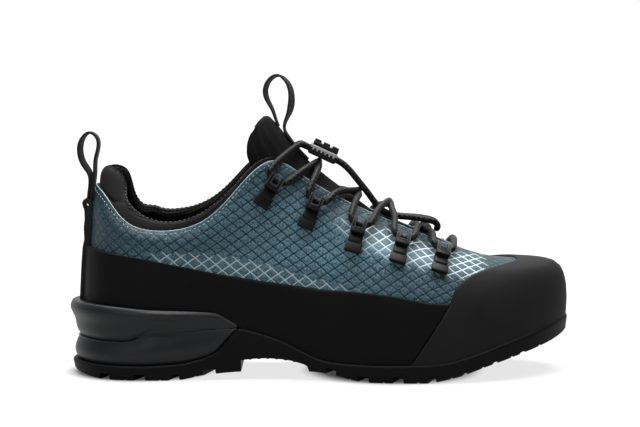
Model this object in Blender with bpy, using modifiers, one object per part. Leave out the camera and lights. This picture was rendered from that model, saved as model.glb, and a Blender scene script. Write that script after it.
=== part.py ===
"""Right hiking shoe: lugged outsole, foam heel wedge, rubber rand and toe cap, ripstop upper, quick lace.

Metres, +Z up. +X points to the toe, -Y is the lateral (outer) side and +Y the medial side. The origin lies
on the floor under the middle of the shoe. Tables are in millimetres and are turned into metres when used.
"""

import math
from functools import lru_cache

import bmesh
import bpy
import numpy as np
from mathutils import Matrix, Vector

MM = 0.001

# Driving dimensions, in millimetres
HEEL_TIP = (-148.5, -2.0)
TOE_TIP = (150.0, 8.0)
GAP = 0.3
OVERLAY_GAP = 0.7
WALL = 2.2
RAND_THICK = 2.0
CAP_THICK = 2.5
INSOLE_THICK = 4.0
LACE_DIAMETER = 3.8
LATERAL, MEDIAL = -1, 1
SIDE_NAMES = {LATERAL: "lateral", MEDIAL: "medial"}

# Edge of the sole seen from above: x, lateral y, medial y
SOLE_PLAN = (
    (-143, -21, 17),
    (-128, -37, 33),
    (-105, -43, 39),
    (-75, -41.5, 37.5),
    (-45, -38, 33),
    (-20, -38.5, 32),
    (5, -44, 37),
    (30, -51, 46),
    (55, -53.5, 52),
    (80, -51, 53.5),
    (105, -43, 50.5),
    (126, -30.5, 43),
    (141, -14, 31),
)

# Lines of the sole seen from the side: x, z
GROUND_LINE = (
    (-149, 3.2), (-146, 2.1), (-140, 1.2), (-134, 0.5), (-128, 0), (-85, 0), (-66, 3), (-46, 4.5), (-6, 5),
    (5, 4), (16, 1.6), (26, 0), (60, 0), (78, 2.8), (98, 8.8), (123, 15.8), (140, 20.4), (151, 24.5),
)
OUTSOLE_TOP_LINE = (
    (-151, 8.9), (-107, 8.4), (-80, 9.9), (-75, 11), (-67.8, 12.9), (-59.8, 16.8), (-54, 23.4), (-48.3, 29.2),
    (-47, 29.8), (-40, 28.4), (-32, 26), (-22, 22.4), (-10, 16.6), (-2, 13), (7, 11), (32, 10.2), (52, 10.5),
    (72, 11.6), (82, 13.8), (94, 17.3), (107, 21.7), (120, 25.6), (134, 29.6), (151, 33.8),
)
CUP_FLOOR_LINE = ((-151, 34), (-70, 34), (-58, 33), (-47, 30.2))
WEDGE_LIP_LINE = ((-151, 43.6), (-125, 43), (-99, 41), (-77, 40), (-60.5, 38.5), (-55.4, 35.9), (-47, 30.9))
WEDGE_STEP_LINE = (
    (-151, 23.5), (-142, 23.2), (-125, 22.9), (-117, 22.9), (-110, 23.7), (-104, 26.2), (-97, 28.4), (-82, 28.9),
    (-47, 30.4),
)
ARCH_LINE = ((-46.2, 11.4), (-38, 12.3), (-31, 12.5), (-19, 11.6), (-11, 9.8), (-7.6, 8.4), (-6.4, 5.4))

# Sections of the upper, one row for each rib from heel to toe. A rib starts at foot_x on the sole's edge and
# rises through wall (the rand's top edge), brow and shoulder to the top edge. The _in columns are measured
# inwards from the sole's edge, sh_k is the shoulder's share of the way in to the top edge, med_rise lifts the
# medial side, and cuff and pad are the padded collar's height and depth there.
UPPER_COLUMNS = (
    "foot_x", "foot_in", "wall_in", "wall_z", "brow_in", "brow_z", "sh_k", "sh_z",
    "top_x", "top_lat", "top_med", "top_z", "med_rise", "cuff", "pad",
)
UPPER_ROWS = (
    (-148.5, 8.5, 10.8, 76.0, 11.6, 89, 0.88, 101, -134, -2, -2, 112.5, 0, 11.5, 10),
    (-139, 8, 9.8, 74.8, 10.8, 86, 0.70, 96, -126.5, -18.5, 14.5, 106, 4, 16, 11),
    (-118, 6, 7.4, 71.4, 8.4, 80, 0.66, 86, -113, -29, 25, 91.5, 8, 12.5, 10.5),
    (-93, 5.5, 6.4, 66.8, 7.2, 75, 0.62, 81, -91, -32.5, 28.5, 86.7, 7, 5.5, 8.5),
    (-70, 5, 6.2, 62.7, 7.0, 74, 0.60, 84, -66, -33, 29, 94, 6, 5, 7.5),
    (-48, 4.5, 5.6, 59.3, 7.2, 77, 0.60, 97, -45, -30, 26.5, 115, 3.5, 4.5, 6),
    (-30, 4.5, 5.4, 56.9, 7.6, 78, 0.55, 103, -29, -22.5, 20, 127, 1, 2.6, 3.9),
    (-8, 4.5, 5.4, 54.0, 8.6, 73, 0.52, 94.8, -10, -19, 17.5, 118.3, 0, 0, 0),
    (28, 4.5, 5.6, 50.0, 10.5, 66, 0.52, 82.8, 24, -16.5, 16.5, 99.3, 0, 0, 0),
    (62, 4.5, 6.0, 46.5, 12, 61.0, 0.52, 73.2, 56, -13.5, 15, 85.4, 0, 0, 0),
    (92, 4.5, 6.0, 45.0, 12, 57.8, 0.50, 67.8, 74, -7.5, 12.5, 78.0, 0, 0, 0),
    (128, 4, 4.6, 46.5, 9.2, 59.8, 0.48, 65.6, 80.8, -1.5, 8, 75.0, 0, 0, 0),
    (150, 4, 3.6, 47.5, 7.6, 61.6, 0.48, 65.0, 82.5, 3.2, 3.2, 74.2, 0, 0, 0),
)
GUIDE_SHARES = (0.0, 0.3, 0.5, 0.75, 1.0)
RIB_SHARES = (0, 0.15, 0.3, 0.4, 0.5, 0.57, 0.66, 0.75, 0.87, 1.0)
RAND_SHARE = 0.3
MEDIAL_LIFT = {"brow": 0.3, "shoulder": 0.7, "top": 1.0}

# Back edge of the toe cap seen from the side: height z, then x
CAP_EDGE = ((8, 51), (14, 54.5), (30, 65), (44.7, 74.5), (54, 78), (59, 82), (62.5, 90), (65, 104), (67.5, 121))

# Tongue, from its end under the vamp to its top: middle x, z, half width, fall at the edges, thickness
TONGUE_ROWS = (
    (92, 66.6, 9, 2, 2.2),
    (77, 72.4, 9, 3, 2.8),
    (56, 83.5, 13, 6, 3.5),
    (40, 91, 15.5, 8, 4.0),
    (24, 102.2, 17.5, 12, 4.5),
    (1, 119.6, 19, 16, 5.5),
    (-14, 134, 16.8, 20.5, 6.5),
    (-23, 145, 20.5, 20.5, 7.0),
    (-28.5, 151.2, 20.5, 17, 6.5),
    (-32, 154.6, 17.5, 10, 4.5),
)
TONGUE_ACROSS = 10
TONGUE_MIDDLE = -1.2

# Lace holders, from the ankle to the toe: middle x and z, lean towards the toe in degrees, x where the lace
# passes over the throat's edge
HOLDER_ROWS = (
    (-30.4, 109.3, 32, -22.0),
    (-5.4, 96.8, 24, 1.5),
    (21.0, 82.8, 18, 26.0),
    (46.7, 75.6, 16, 49.6),
    (70.4, 69.0, 12, 72.0),
)
HOLDER_WIDTH = 8.6
TAB_LENGTH = 13.0
TAB_THICK = 3.0
LOOP_LENGTH = 10.0
LOOP_THICK = 1.9
LOOP_LIFT = 4.6
LOOP_SLOT = 3.8

# Middle of each lace crossing over the tongue: x, z
CROSSING_ROWS = ((-0.8, 125.6), (23.0, 107.4), (41.2, 100.9), (61.0, 86.2))
BAR_MIDDLE = (81.0, 3.0, 78.6)
LACE_SIDES = 8

# Cord lock on the lace, above the tongue
LOCK_MIDDLE = (1.7, 0.0, 130.5)
LOCK_SIZE = (18.0, 13.0, 6.0)
LOCK_SLIDER_SIZE = (16.0, 11.0, 3.4)
LOCK_TILT = 25.0
STRAND_SPREAD = 2.4

# Lace tail from the cord lock forward to its looped end: x, y, z of the lateral strand, then it turns back
TAIL_ROUTE = (
    (12.2, -2.4, 125.4), (16.0, -2.5, 122.4), (22.4, -2.6, 115.0), (28.8, -2.5, 106.9), (33.8, -2.4, 100.2),
    (38.6, -2.3, 95.7), (44.5, -2.3, 93.6), (51, -2.8, 92.8), (58, -4.6, 92.2), (64, -6.0, 91.2),
    (69.5, -5.0, 89.8), (71.5, 0, 88.6),
)

# Webbing, seen from the side: x, z
HEEL_LOOP_ROUTE = (
    (-136.3, 106), (-135.3, 113), (-134.6, 119), (-134.2, 127), (-132.6, 134), (-133.4, 140.5), (-137.6, 143.2),
    (-141.8, 139.6), (-143.4, 132), (-141.2, 124.5), (-137.6, 118.5), (-137.3, 113), (-138.3, 106),
)
TONGUE_LOOP_ROUTE = (
    (-26.4, 151.2), (-28.4, 157), (-32.2, 165), (-31.4, 172.4), (-25.2, 177.2), (-19.4, 173), (-17.0, 164),
    (-18.6, 154), (-21.9, 146.0), (-19.0, 142.4),
)
HEEL_STRAP_TOP = 103.6
HEEL_STRAP_BACK = -140.9
HEEL_STRAP_CLEAR = 0.6
HEEL_EYE = 0.9
HEEL_LOOP_WIDTH = 10.0
TONGUE_LOOP_WIDTH = 9.0
HEEL_STRAP_WIDTH = 14.0
WEBBING_THICK = 1.5

# Tread: middle x of each edge groove, and of each middle groove
EDGE_GROOVES = (-124, -103, -83, -62, 8, 27, 47, 67, 86, 104, 121)
MIDDLE_GROOVES = (-113, -92, -72, 18, 38, 58, 78, 97, 114)
GROOVE_WIDTH = 6.5
GROOVE_DEPTH = 3.6
EDGE_GROOVE_LENGTH = 20.0
MIDDLE_GROOVE_LENGTH = 17.0
GROOVE_SLANT = 18.0

# Colours, roughness and metallic value of each material
FINISHES = {
    "outsole_rubber": ((0.013, 0.013, 0.014), 0.6, 0.0),
    "wedge_foam": ((0.045, 0.048, 0.053), 0.5, 0.0),
    "rand_rubber": ((0.008, 0.008, 0.009), 0.62, 0.0),
    "cap_rubber": ((0.026, 0.026, 0.027), 0.58, 0.0),
    "ripstop_fabric": ((0.075, 0.14, 0.175), 0.45, 0.0),
    "cuff_fabric": ((0.02, 0.02, 0.021), 0.8, 0.0),
    "insole_foam": ((0.03, 0.03, 0.032), 0.85, 0.0),
    "webbing": ((0.014, 0.014, 0.015), 0.75, 0.0),
    "lace_cord": ((0.012, 0.012, 0.013), 0.7, 0.0),
    "loop_plastic": ((0.02, 0.02, 0.021), 0.35, 0.0),
}


# Smooth curves


def spline(knots, values, closed=False):
    """A cubic curve through values at knots. A closed one has its first value again at its last knot."""
    t = np.asarray(knots, float)
    p = np.asarray(values, float).reshape(len(t), -1)
    h, last = np.diff(t), len(t) - 1
    slope = np.diff(p, axis=0) / h[:, None]
    a, b = np.zeros((last + 1, last + 1)), np.zeros_like(p)
    for i in range(1, last):
        a[i, i - 1 : i + 2] = h[i - 1], 2 * (h[i - 1] + h[i]), h[i]
        b[i] = 6 * (slope[i] - slope[i - 1])
    a[0, 0], a[last, last] = 1, 1
    if closed:
        a[0, 0], a[0, 1], a[0, last - 1] = 2 * (h[-1] + h[0]), h[0], h[-1]
        b[0] = 6 * (slope[0] - slope[-1])
        a[last, 0] = -1
    bend = np.linalg.solve(a, b)

    def at(x):
        x = t[0] + (x - t[0]) % (t[-1] - t[0]) if closed else x
        i = int(np.clip(np.searchsorted(t, x) - 1, 0, last - 1))
        l, r = t[i + 1] - x, x - t[i]
        straight = (p[i] / h[i] - bend[i] * h[i] / 6) * l + (p[i + 1] / h[i] - bend[i + 1] * h[i] / 6) * r
        return straight + (bend[i] * l**3 + bend[i + 1] * r**3) / (6 * h[i])

    return at


def profile(rows):
    """Height along x through a table's rows, with no overshoot between them."""
    x, z = np.array(rows, float).T
    h = np.diff(x)
    d = np.diff(z) / h
    m = np.concatenate([[d[0]], np.zeros(len(x) - 2), [d[-1]]])
    for i in range(1, len(x) - 1):
        if d[i - 1] * d[i] > 0:
            near, far = 2 * h[i] + h[i - 1], h[i] + 2 * h[i - 1]
            m[i] = (near + far) / (near / d[i - 1] + far / d[i])

    def at(q):
        q = float(np.clip(q, x[0], x[-1]))
        i = int(np.clip(np.searchsorted(x, q) - 1, 0, len(x) - 2))
        s = (q - x[i]) / h[i]
        start, end = (1 + 2 * s) * (1 - s) ** 2 * z[i], s * s * (3 - 2 * s) * z[i + 1]
        return start + end + h[i] * s * (1 - s) * (m[i] * (1 - s) - m[i + 1] * s)

    return at


def through(points, spacing):
    """Points about spacing apart on a smooth curve through a route's own points."""
    p = np.asarray(points, float)
    along = np.concatenate([[0], np.cumsum(np.linalg.norm(np.diff(p, axis=0), axis=1))])
    curve = spline(along, p)
    return [curve(s) for s in np.linspace(0, along[-1], max(3, round(along[-1] / spacing) + 1))]


ground = profile(GROUND_LINE)
outsole_top = profile(OUTSOLE_TOP_LINE)
cup_floor = profile(CUP_FLOOR_LINE)
wedge_lip = profile(WEDGE_LIP_LINE)
wedge_step = profile(WEDGE_STEP_LINE)
arch_roof = profile(ARCH_LINE)
WEDGE_FRONT = -48.6


def floor_height(x):
    """Top of what the upper stands on: the wedge's cup at the heel, then the outsole."""
    return cup_floor(x) if x < CUP_FLOOR_LINE[-1][0] else outsole_top(x)


# Sole outline, measured along its edge from the heel (0) by the lateral side to the toe (0.5) and back (1)


def outline_samples(count=1600):
    lateral = [(x, lat) for x, lat, _ in SOLE_PLAN]
    medial = [(x, med) for x, _, med in reversed(SOLE_PLAN)]
    ring = np.array([HEEL_TIP, *lateral, TOE_TIP, *medial, HEEL_TIP], float)
    along = np.concatenate([[0], np.cumsum(np.linalg.norm(np.diff(ring, axis=0), axis=1))])
    curve = spline(along, ring, closed=True)
    points = np.array([curve(s) for s in np.linspace(0, along[-1], count, endpoint=False)] + [HEEL_TIP])
    steps = np.concatenate([[0], np.cumsum(np.linalg.norm(np.diff(points, axis=0), axis=1))])
    toe = int(points[:, 0].argmax())
    shares = np.interp(steps, [0, steps[toe], steps[-1]], [0, 0.5, 1])
    tangent = np.gradient(points, axis=0)
    normal = np.stack([tangent[:, 1], -tangent[:, 0]], axis=1)
    normal /= np.linalg.norm(normal, axis=1)[:, None]
    area = np.cross(points[:-1], points[1:]).sum()
    return shares, points, normal if area > 0 else -normal, toe


EDGE_SHARE, EDGE_POINT, EDGE_NORMAL, EDGE_TOE = outline_samples()


def sole_edge(u):
    """Plan point and outward direction at share u of the sole's edge."""
    u = u % 1.0
    point = np.array([np.interp(u, EDGE_SHARE, EDGE_POINT[:, k]) for k in (0, 1)])
    normal = np.array([np.interp(u, EDGE_SHARE, EDGE_NORMAL[:, k]) for k in (0, 1)])
    return point, normal / np.linalg.norm(normal)


def share_at(x, side):
    """Share of the sole's edge where it reaches x on one side."""
    if side == LATERAL:
        return float(np.interp(x, EDGE_POINT[: EDGE_TOE + 1, 0], EDGE_SHARE[: EDGE_TOE + 1]))
    return float(np.interp(x, EDGE_POINT[EDGE_TOE:, 0][::-1], EDGE_SHARE[EDGE_TOE:][::-1]))


def stations(count):
    """Places along x from heel to toe, closer together at both round ends."""
    middle, half = (TOE_TIP[0] + HEEL_TIP[0]) / 2, (TOE_TIP[0] - HEEL_TIP[0]) / 2
    turn = [math.pi * (i + 1) / (count + 1) for i in range(count)]
    return [middle - half * (0.72 * math.cos(a) + 0.28 * (1 - 2 * a / math.pi)) for a in turn]


STATIONS = stations(30)
STEEP_STATIONS = (-58, -54, -51, -48.6, -47, -44, -26, -16, -10, -4, 2, 10)
EASY_STATIONS = [x for x in STATIONS if min(abs(x - s) for s in STEEP_STATIONS) > 1.5]
SOLE_STATIONS = sorted([*EASY_STATIONS, *STEEP_STATIONS])


# Form of the upper


def upper_column(name):
    """A column of the upper's table as a closed curve round the sole's edge."""
    k = UPPER_COLUMNS.index(name)
    return upper_ring([row[k] for row in UPPER_ROWS], [row[k] for row in UPPER_ROWS])


def upper_ring(lateral, medial):
    feet = [row[0] for row in UPPER_ROWS]
    knots = [0.0, *[share_at(x, LATERAL) for x in feet[1:-1]], 0.5]
    knots += [share_at(x, MEDIAL) for x in reversed(feet[1:-1])] + [1.0]
    return spline(knots, [*lateral, *medial[-2:0:-1], lateral[0]], closed=True)


COLUMN = {name: upper_column(name) for name in UPPER_COLUMNS if name not in ("foot_x", "med_rise")}
RISE = upper_ring([0] * len(UPPER_ROWS), [row[UPPER_COLUMNS.index("med_rise")] for row in UPPER_ROWS])
TOP_Y = upper_ring(
    [row[UPPER_COLUMNS.index("top_lat")] for row in UPPER_ROWS],
    [row[UPPER_COLUMNS.index("top_med")] for row in UPPER_ROWS],
)


@lru_cache(maxsize=None)
def rib(u):
    """The upper's outer face as a curve from the sole up to its top edge, at share u of the sole's edge."""
    edge, normal = sole_edge(u)
    value = {name: float(curve(u)[0]) for name, curve in COLUMN.items()}
    rise = float(RISE(u)[0])
    top = np.array([value["top_x"], float(TOP_Y(u)[0])])
    foot = edge - normal * value["foot_in"]
    wall = edge - normal * value["wall_in"]
    brow = edge - normal * value["brow_in"]
    shoulder = edge + (top - edge) * value["sh_k"]
    guides = np.array([
        (*foot, floor_height(foot[0]) + GAP),
        (*wall, value["wall_z"]),
        (*brow, value["brow_z"] + rise * MEDIAL_LIFT["brow"]),
        (*shoulder, value["sh_z"] + rise * MEDIAL_LIFT["shoulder"]),
        (*top, value["top_z"] + rise * MEDIAL_LIFT["top"]),
    ])
    along = np.concatenate([[0], np.cumsum(np.linalg.norm(np.diff(guides, axis=0), axis=1))])
    curve = spline(along, guides)
    return lambda v: curve(float(np.interp(v, GUIDE_SHARES, along)))


def normal_at(u, v):
    """Outward direction of the upper's face."""
    low, high = max(0.0, v - 0.01), min(1.0, v + 0.01)
    along = rib((u + 0.002) % 1.0)(v) - rib((u - 0.002) % 1.0)(v)
    up = rib(u % 1.0)(high) - rib(u % 1.0)(low)
    n = np.cross(along, up)
    return n / np.linalg.norm(n)


def on_upper(u, v, out=0.0):
    """A point at rib share v, out millimetres outside the upper's face."""
    point = rib(u % 1.0)(v)
    if out:
        point = point + normal_at(u, v) * out
    if v == 0:
        point[2] = floor_height(point[0]) + GAP
    return point


def cap_share(u, shift=0.0):
    """Share of a rib, from the sole up, that lies in front of the toe cap's back edge."""
    heights, places = np.array(CAP_EDGE, float).T
    shares = np.linspace(0, 1, 101)
    points = np.array([on_upper(u, v) for v in shares])
    ahead = points[:, 0] - np.interp(points[:, 2], heights, places) - shift
    behind = int(np.argmax(ahead < 0))
    if behind == 0:
        return 0.0
    return float(shares[behind] - 0.01 * ahead[behind] / (ahead[behind] - ahead[behind - 1]))


def cap_crossing(side, share, shift):
    """Where along the sole's edge the toe cap's back edge, moved by shift, crosses a share of the ribs."""
    low, high = share_at(20, side), share_at(110, side)
    for _ in range(30):
        middle = (low + high) / 2
        low, high = (low, middle) if cap_share(middle, shift) > share else (middle, high)
    return low


RAND_SHIFT = -2 * GAP
CAP_START = {side: cap_crossing(side, 0, 0) for side in SIDE_NAMES}
RAND_END = {side: cap_crossing(side, RAND_SHARE, RAND_SHIFT) for side in SIDE_NAMES}
RING = sorted([
    0.0, 0.5, *CAP_START.values(), *RAND_END.values(),
    *[share_at(x, side) for x in STATIONS for side in SIDE_NAMES],
])


# Building blocks


def clear_scene():
    for obj in list(bpy.data.objects):
        bpy.data.objects.remove(obj)


def collection(name):
    group = bpy.data.collections.new(name)
    bpy.context.scene.collection.children.link(group)
    return group


def finish(name):
    material = bpy.data.materials.get(name) or bpy.data.materials.new(name)
    material.use_nodes = True
    shader = material.node_tree.nodes["Principled BSDF"]
    colour, roughness, metallic = FINISHES[name]
    shader.inputs["Base Color"].default_value = (*colour, 1)
    shader.inputs["Roughness"].default_value = roughness
    shader.inputs["Metallic"].default_value = metallic
    return material


def place(name, data, finish_name, matrix=None):
    """Adds an object to the shoe, or to the cutters where it has no finish."""
    obj = bpy.data.objects.new(name, data)
    (SHOE if finish_name else CUTTERS).objects.link(obj)
    if matrix is not None:
        obj.matrix_world = matrix
    if finish_name:
        if not data.materials:
            data.materials.append(finish(finish_name))
    else:
        obj.hide_render, obj.display_type = True, "WIRE"
    return obj


def mesh_of(name, bm, smooth_angle=40):
    """A mesh from a bmesh, with doubles merged, faces pointing out and soft shading up to an angle."""
    bmesh.ops.remove_doubles(bm, verts=bm.verts, dist=1e-6)
    bmesh.ops.recalc_face_normals(bm, faces=bm.faces)
    mesh = bpy.data.meshes.new(name)
    bm.to_mesh(mesh)
    bm.free()
    mesh.shade_smooth()
    mesh.set_sharp_from_angle(angle=math.radians(smooth_angle))
    return mesh


def skin(bm, rings, closed):
    """Faces between neighbouring rings of points in millimetres. Returns the rings' vertices."""
    made = [[bm.verts.new(Vector(p) * MM) for p in ring] for ring in rings]
    for low, high in zip(made, made[1:]):
        count = len(low)
        for i in range(count if closed else count - 1):
            j = (i + 1) % count
            bm.faces.new((low[i], low[j], high[j], high[i]))
    return made


def shell(name, shares, limits, inner, outer, closed, finish_name):
    """A wall cut from the upper's form between two offsets, over a stretch of each rib."""
    bm = bmesh.new()
    spans = [limits(u) for u in shares]
    rows = []
    for out in (outer, inner):
        rows.append([
            [on_upper(u, float(np.clip(v, *span)), out) for u, span in zip(shares, spans)] for v in RIB_SHARES
        ])
    outside, inside = (skin(bm, grid, closed) for grid in rows)
    count = len(shares)
    for a, b in ((outside[0], inside[0]), (outside[-1], inside[-1])):
        for i in range(count if closed else count - 1):
            j = (i + 1) % count
            bm.faces.new((a[i], a[j], b[j], b[i]))
    if not closed:
        for i in (0, -1):
            for low in range(len(outside) - 1):
                corner = (outside[low][i], outside[low + 1][i], inside[low + 1][i], inside[low][i])
                bm.faces.new(corner)
    return place(name, mesh_of(name, bm), finish_name)


def sole_ring(places, level):
    """Points round the sole's edge at one level, a function of x that gives inset and height."""
    points = []
    for x, side in places:
        edge, normal = sole_edge(share_at(x, side))
        inset, height = level(x)
        points.append((*(edge - normal * inset), height))
    return points


def sole_block(name, lateral_x, levels, finish_name):
    """A solid between levels of the sole's outline, with its top and bottom ruled straight across."""
    inner = [x for x in lateral_x if HEEL_TIP[0] < x < TOE_TIP[0]]
    tips = [x for x in lateral_x if x not in inner]
    heel = [(HEEL_TIP[0], LATERAL)] if HEEL_TIP[0] in tips else []
    toe = [(TOE_TIP[0], LATERAL)] if TOE_TIP[0] in tips else []
    places = heel + [(x, LATERAL) for x in inner] + toe + [(x, MEDIAL) for x in reversed(inner)]
    bm = bmesh.new()
    made = skin(bm, [sole_ring(places, level) for level in levels], closed=True)
    for ring in (made[0], made[-1]):
        rule_across(bm, ring, len(heel))
    return place(name, mesh_of(name, bm), finish_name)


def rule_across(bm, ring, tips_at_start):
    """Closes a ring with strips that run from its lateral to its medial points."""
    left, right = tips_at_start, len(ring) - 1
    if tips_at_start:
        bm.faces.new((ring[0], ring[left], ring[right]))
    while right - left > 2:
        bm.faces.new((ring[left], ring[left + 1], ring[right - 1], ring[right]))
        left, right = left + 1, right - 1
    if right - left == 2:
        bm.faces.new((ring[left], ring[left + 1], ring[right]))


def cut(obj, cutter, operation="DIFFERENCE"):
    modifier = obj.modifiers.new(cutter.name, "BOOLEAN")
    modifier.operation, modifier.object = operation, cutter


def tube(name, points, finish_name, radius=LACE_DIAMETER / 2):
    """A round cord along points, in millimetres."""
    data = bpy.data.curves.new(name, "CURVE")
    data.dimensions, data.bevel_depth, data.bevel_resolution = "3D", radius * MM, LACE_SIDES // 4
    data.use_fill_caps = True
    line = data.splines.new("POLY")
    line.points.add(len(points) - 1)
    for point, p in zip(line.points, points):
        point.co = (*(Vector(p) * MM), 1)
    return place(name, data, finish_name)


def curve_as_mesh(obj):
    """The same curve as a closed mesh, which a Boolean can take."""
    graph = bpy.context.evaluated_depsgraph_get()
    mesh = bpy.data.meshes.new_from_object(obj.evaluated_get(graph))
    bm = bmesh.new()
    bm.from_mesh(mesh)
    bmesh.ops.remove_doubles(bm, verts=bm.verts, dist=1e-6)
    bmesh.ops.recalc_face_normals(bm, faces=bm.faces)
    bm.to_mesh(mesh)
    bm.free()
    name, matrix = obj.name, obj.matrix_world.copy()
    finish_name = None if obj.hide_render else obj.data.materials[0].name
    bpy.data.objects.remove(obj)
    return place(name, mesh, finish_name, matrix)


def ribbon(name, points, width, middle_y, finish_name):
    """Flat webbing of a given width along a route seen from the side."""
    bm = bmesh.new()
    rings = [[(x, middle_y - width / 2, z), (x, middle_y + width / 2, z)] for x, z in points]
    skin(bm, rings, closed=False)
    obj = place(name, mesh_of(name, bm), finish_name)
    thick = obj.modifiers.new("thickness", "SOLIDIFY")
    thick.thickness, thick.offset, thick.use_even_offset = WEBBING_THICK * MM, 0, True
    return obj


def block(size, round_edge, segments=2):
    """A box with rounded edges, centred on its origin, in millimetres."""
    bm = bmesh.new()
    bmesh.ops.create_cube(bm, size=1)
    bmesh.ops.scale(bm, vec=Vector(size) * MM, verts=bm.verts)
    bmesh.ops.bevel(
        bm, geom=bm.edges, offset=round_edge * MM, segments=segments, affect="EDGES", profile=0.5, material=-1
    )
    return bm


# Sole


def make_outsole():
    xs = [HEEL_TIP[0], *SOLE_STATIONS, TOE_TIP[0]]
    levels = (
        lambda x: (2.0, ground(x)),
        lambda x: (0.7, ground(x) + 1.2),
        lambda x: (0.2, 0.5 * (ground(x) + outsole_top(x))),
        lambda x: (0.0, outsole_top(x) - 1.2),
        lambda x: (0.9, outsole_top(x)),
    )
    outsole = sole_block("outsole", xs, levels, "outsole_rubber")
    cut(outsole, arch_cutter())
    cut(outsole, tread_cutter())
    return outsole


def arch_cutter():
    """The space under the arch, between the heel's breast and the back edge of the forefoot tread."""
    first, last = ARCH_LINE[0][0], ARCH_LINE[-1][0]
    below, side = -10.0, 80.0
    roof = [(x, arch_roof(x)) for x in np.linspace(first, last, 13)]
    outline = [(first, below), *roof, (last, below)]
    bm = bmesh.new()
    rings = [[(x, y, z) for x, z in outline] for y in (-side, side)]
    for ring in skin(bm, rings, closed=True):
        bm.faces.new(ring)
    return place("arch_cutter", mesh_of("arch_cutter", bm), None)


def tread_cutter():
    """Grooves between the lugs: slanted slots in from both edges, and a row of slots down the middle."""
    bm = bmesh.new()
    places = []
    for x in EDGE_GROOVES:
        for side in (LATERAL, MEDIAL):
            edge, _ = sole_edge(share_at(x, side))
            inward = EDGE_GROOVE_LENGTH / 2 - 2
            places.append((edge[0], edge[1] - side * inward, EDGE_GROOVE_LENGTH, side * GROOVE_SLANT))
    for i, x in enumerate(MIDDLE_GROOVES):
        middle = (sole_edge(share_at(x, LATERAL))[0][1] + sole_edge(share_at(x, MEDIAL))[0][1]) / 2
        places.append((x, middle, MIDDLE_GROOVE_LENGTH, GROOVE_SLANT * (-1) ** i))
    for x, y, length, slant in places:
        slope = math.atan2(ground(x + 4) - ground(x - 4), 8)
        size = Vector((GROOVE_WIDTH, length, 2 * GROOVE_DEPTH)) * MM
        matrix = Matrix.Translation(Vector((x, y, ground(x))) * MM)
        matrix @= Matrix.Rotation(-slope, 4, "Y") @ Matrix.Rotation(math.radians(slant), 4, "Z")
        bmesh.ops.create_cube(bm, size=1, matrix=matrix @ Matrix.Diagonal((*size, 1)))
    return place("tread_cutter", mesh_of("tread_cutter", bm), None)


def make_heel_wedge():
    xs = [HEEL_TIP[0], *[x for x in SOLE_STATIONS if x <= WEDGE_FRONT]]

    def narrowing(x):
        """1 at the heel, falling to 0 at the wedge's front tip."""
        return float(np.clip((WEDGE_FRONT + 1 - x) / 42, 0, 1))

    def bottom(x):
        slope = (outsole_top(x + 1) - outsole_top(x - 1)) / 2
        return outsole_top(x) + GAP * math.hypot(1, slope)

    levels = (
        lambda x: (1.6 + 1.4 * narrowing(x), bottom(x)),
        lambda x: (0.9 + 0.9 * narrowing(x), bottom(x) + 0.16 * (wedge_step(x) - bottom(x))),
        lambda x: (1.0 + 3.4 * narrowing(x), wedge_step(x) - 0.1),
        lambda x: (0.9 + 2.0 * narrowing(x), wedge_step(x) + 0.12 * (wedge_lip(x) - wedge_step(x))),
        lambda x: (0.6 + 0.4 * narrowing(x), wedge_step(x) + 0.5 * (wedge_lip(x) - wedge_step(x))),
        lambda x: (0.6 - 2.0 * narrowing(x), wedge_lip(x) - 0.16 * (wedge_lip(x) - wedge_step(x))),
        lambda x: (1.0 - 1.0 * narrowing(x), wedge_lip(x)),
    )
    wedge = sole_block("heel_wedge", xs, levels, "wedge_foam")
    cut(wedge, cup_cutter())
    return wedge


def cup_cutter():
    """The form of the upper in its rand, a gap larger, from the cup's floor up."""
    out = OVERLAY_GAP + RAND_THICK + GAP
    shares = RING
    rings = [[on_upper(u, v, out) for u in shares] for v in RIB_SHARES[:5]]
    rings[0] = [(x, y, floor_height(x)) for x, y, _ in rings[0]]
    bm = bmesh.new()
    made = skin(bm, rings, closed=True)
    for ring in (made[0], made[-1]):
        rule_across(bm, ring, 1)
    return place("cup_cutter", mesh_of("cup_cutter", bm), None)


def make_insole():
    clear = WALL + 2 * GAP
    foot_in = COLUMN["foot_in"]

    def level(lift, more):
        def at(x):
            inset = float(foot_in(share_at(x, LATERAL))[0]) + clear + more
            return inset, floor_height(x) + 2 * GAP + lift

        return at

    xs = [HEEL_TIP[0], *SOLE_STATIONS, TOE_TIP[0]]
    levels = (level(0, 0.6), level(1, 0), level(INSOLE_THICK - 0.8, 0.2), level(INSOLE_THICK, 1.4))
    return sole_block("insole", xs, levels, "insole_foam")


# Upper and what is laid over it


def make_upper():
    return shell("upper", RING, lambda u: (0, 1), -WALL, 0, True, "ripstop_fabric")


def make_rand():
    """Band of rubber from the sole to the wall line, round the heel between the toe cap's edges."""
    shares = [u - 1 if u > 0.5 else u for u in RING if not RAND_END[LATERAL] < u < RAND_END[MEDIAL]]
    limits = {u: (min(cap_share(u, RAND_SHIFT), RAND_SHARE), RAND_SHARE) for u in shares}
    offsets = (OVERLAY_GAP, OVERLAY_GAP + RAND_THICK)
    return shell("rand", sorted(shares), limits.get, *offsets, False, "rand_rubber")


def make_toe_cap():
    shares = [u for u in RING if CAP_START[LATERAL] <= u <= CAP_START[MEDIAL]]
    limits = {u: (0, cap_share(u)) for u in shares}
    offsets = (OVERLAY_GAP, OVERLAY_GAP + CAP_THICK)
    return shell("toe_cap", shares, limits.get, *offsets, False, "cap_rubber")


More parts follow.
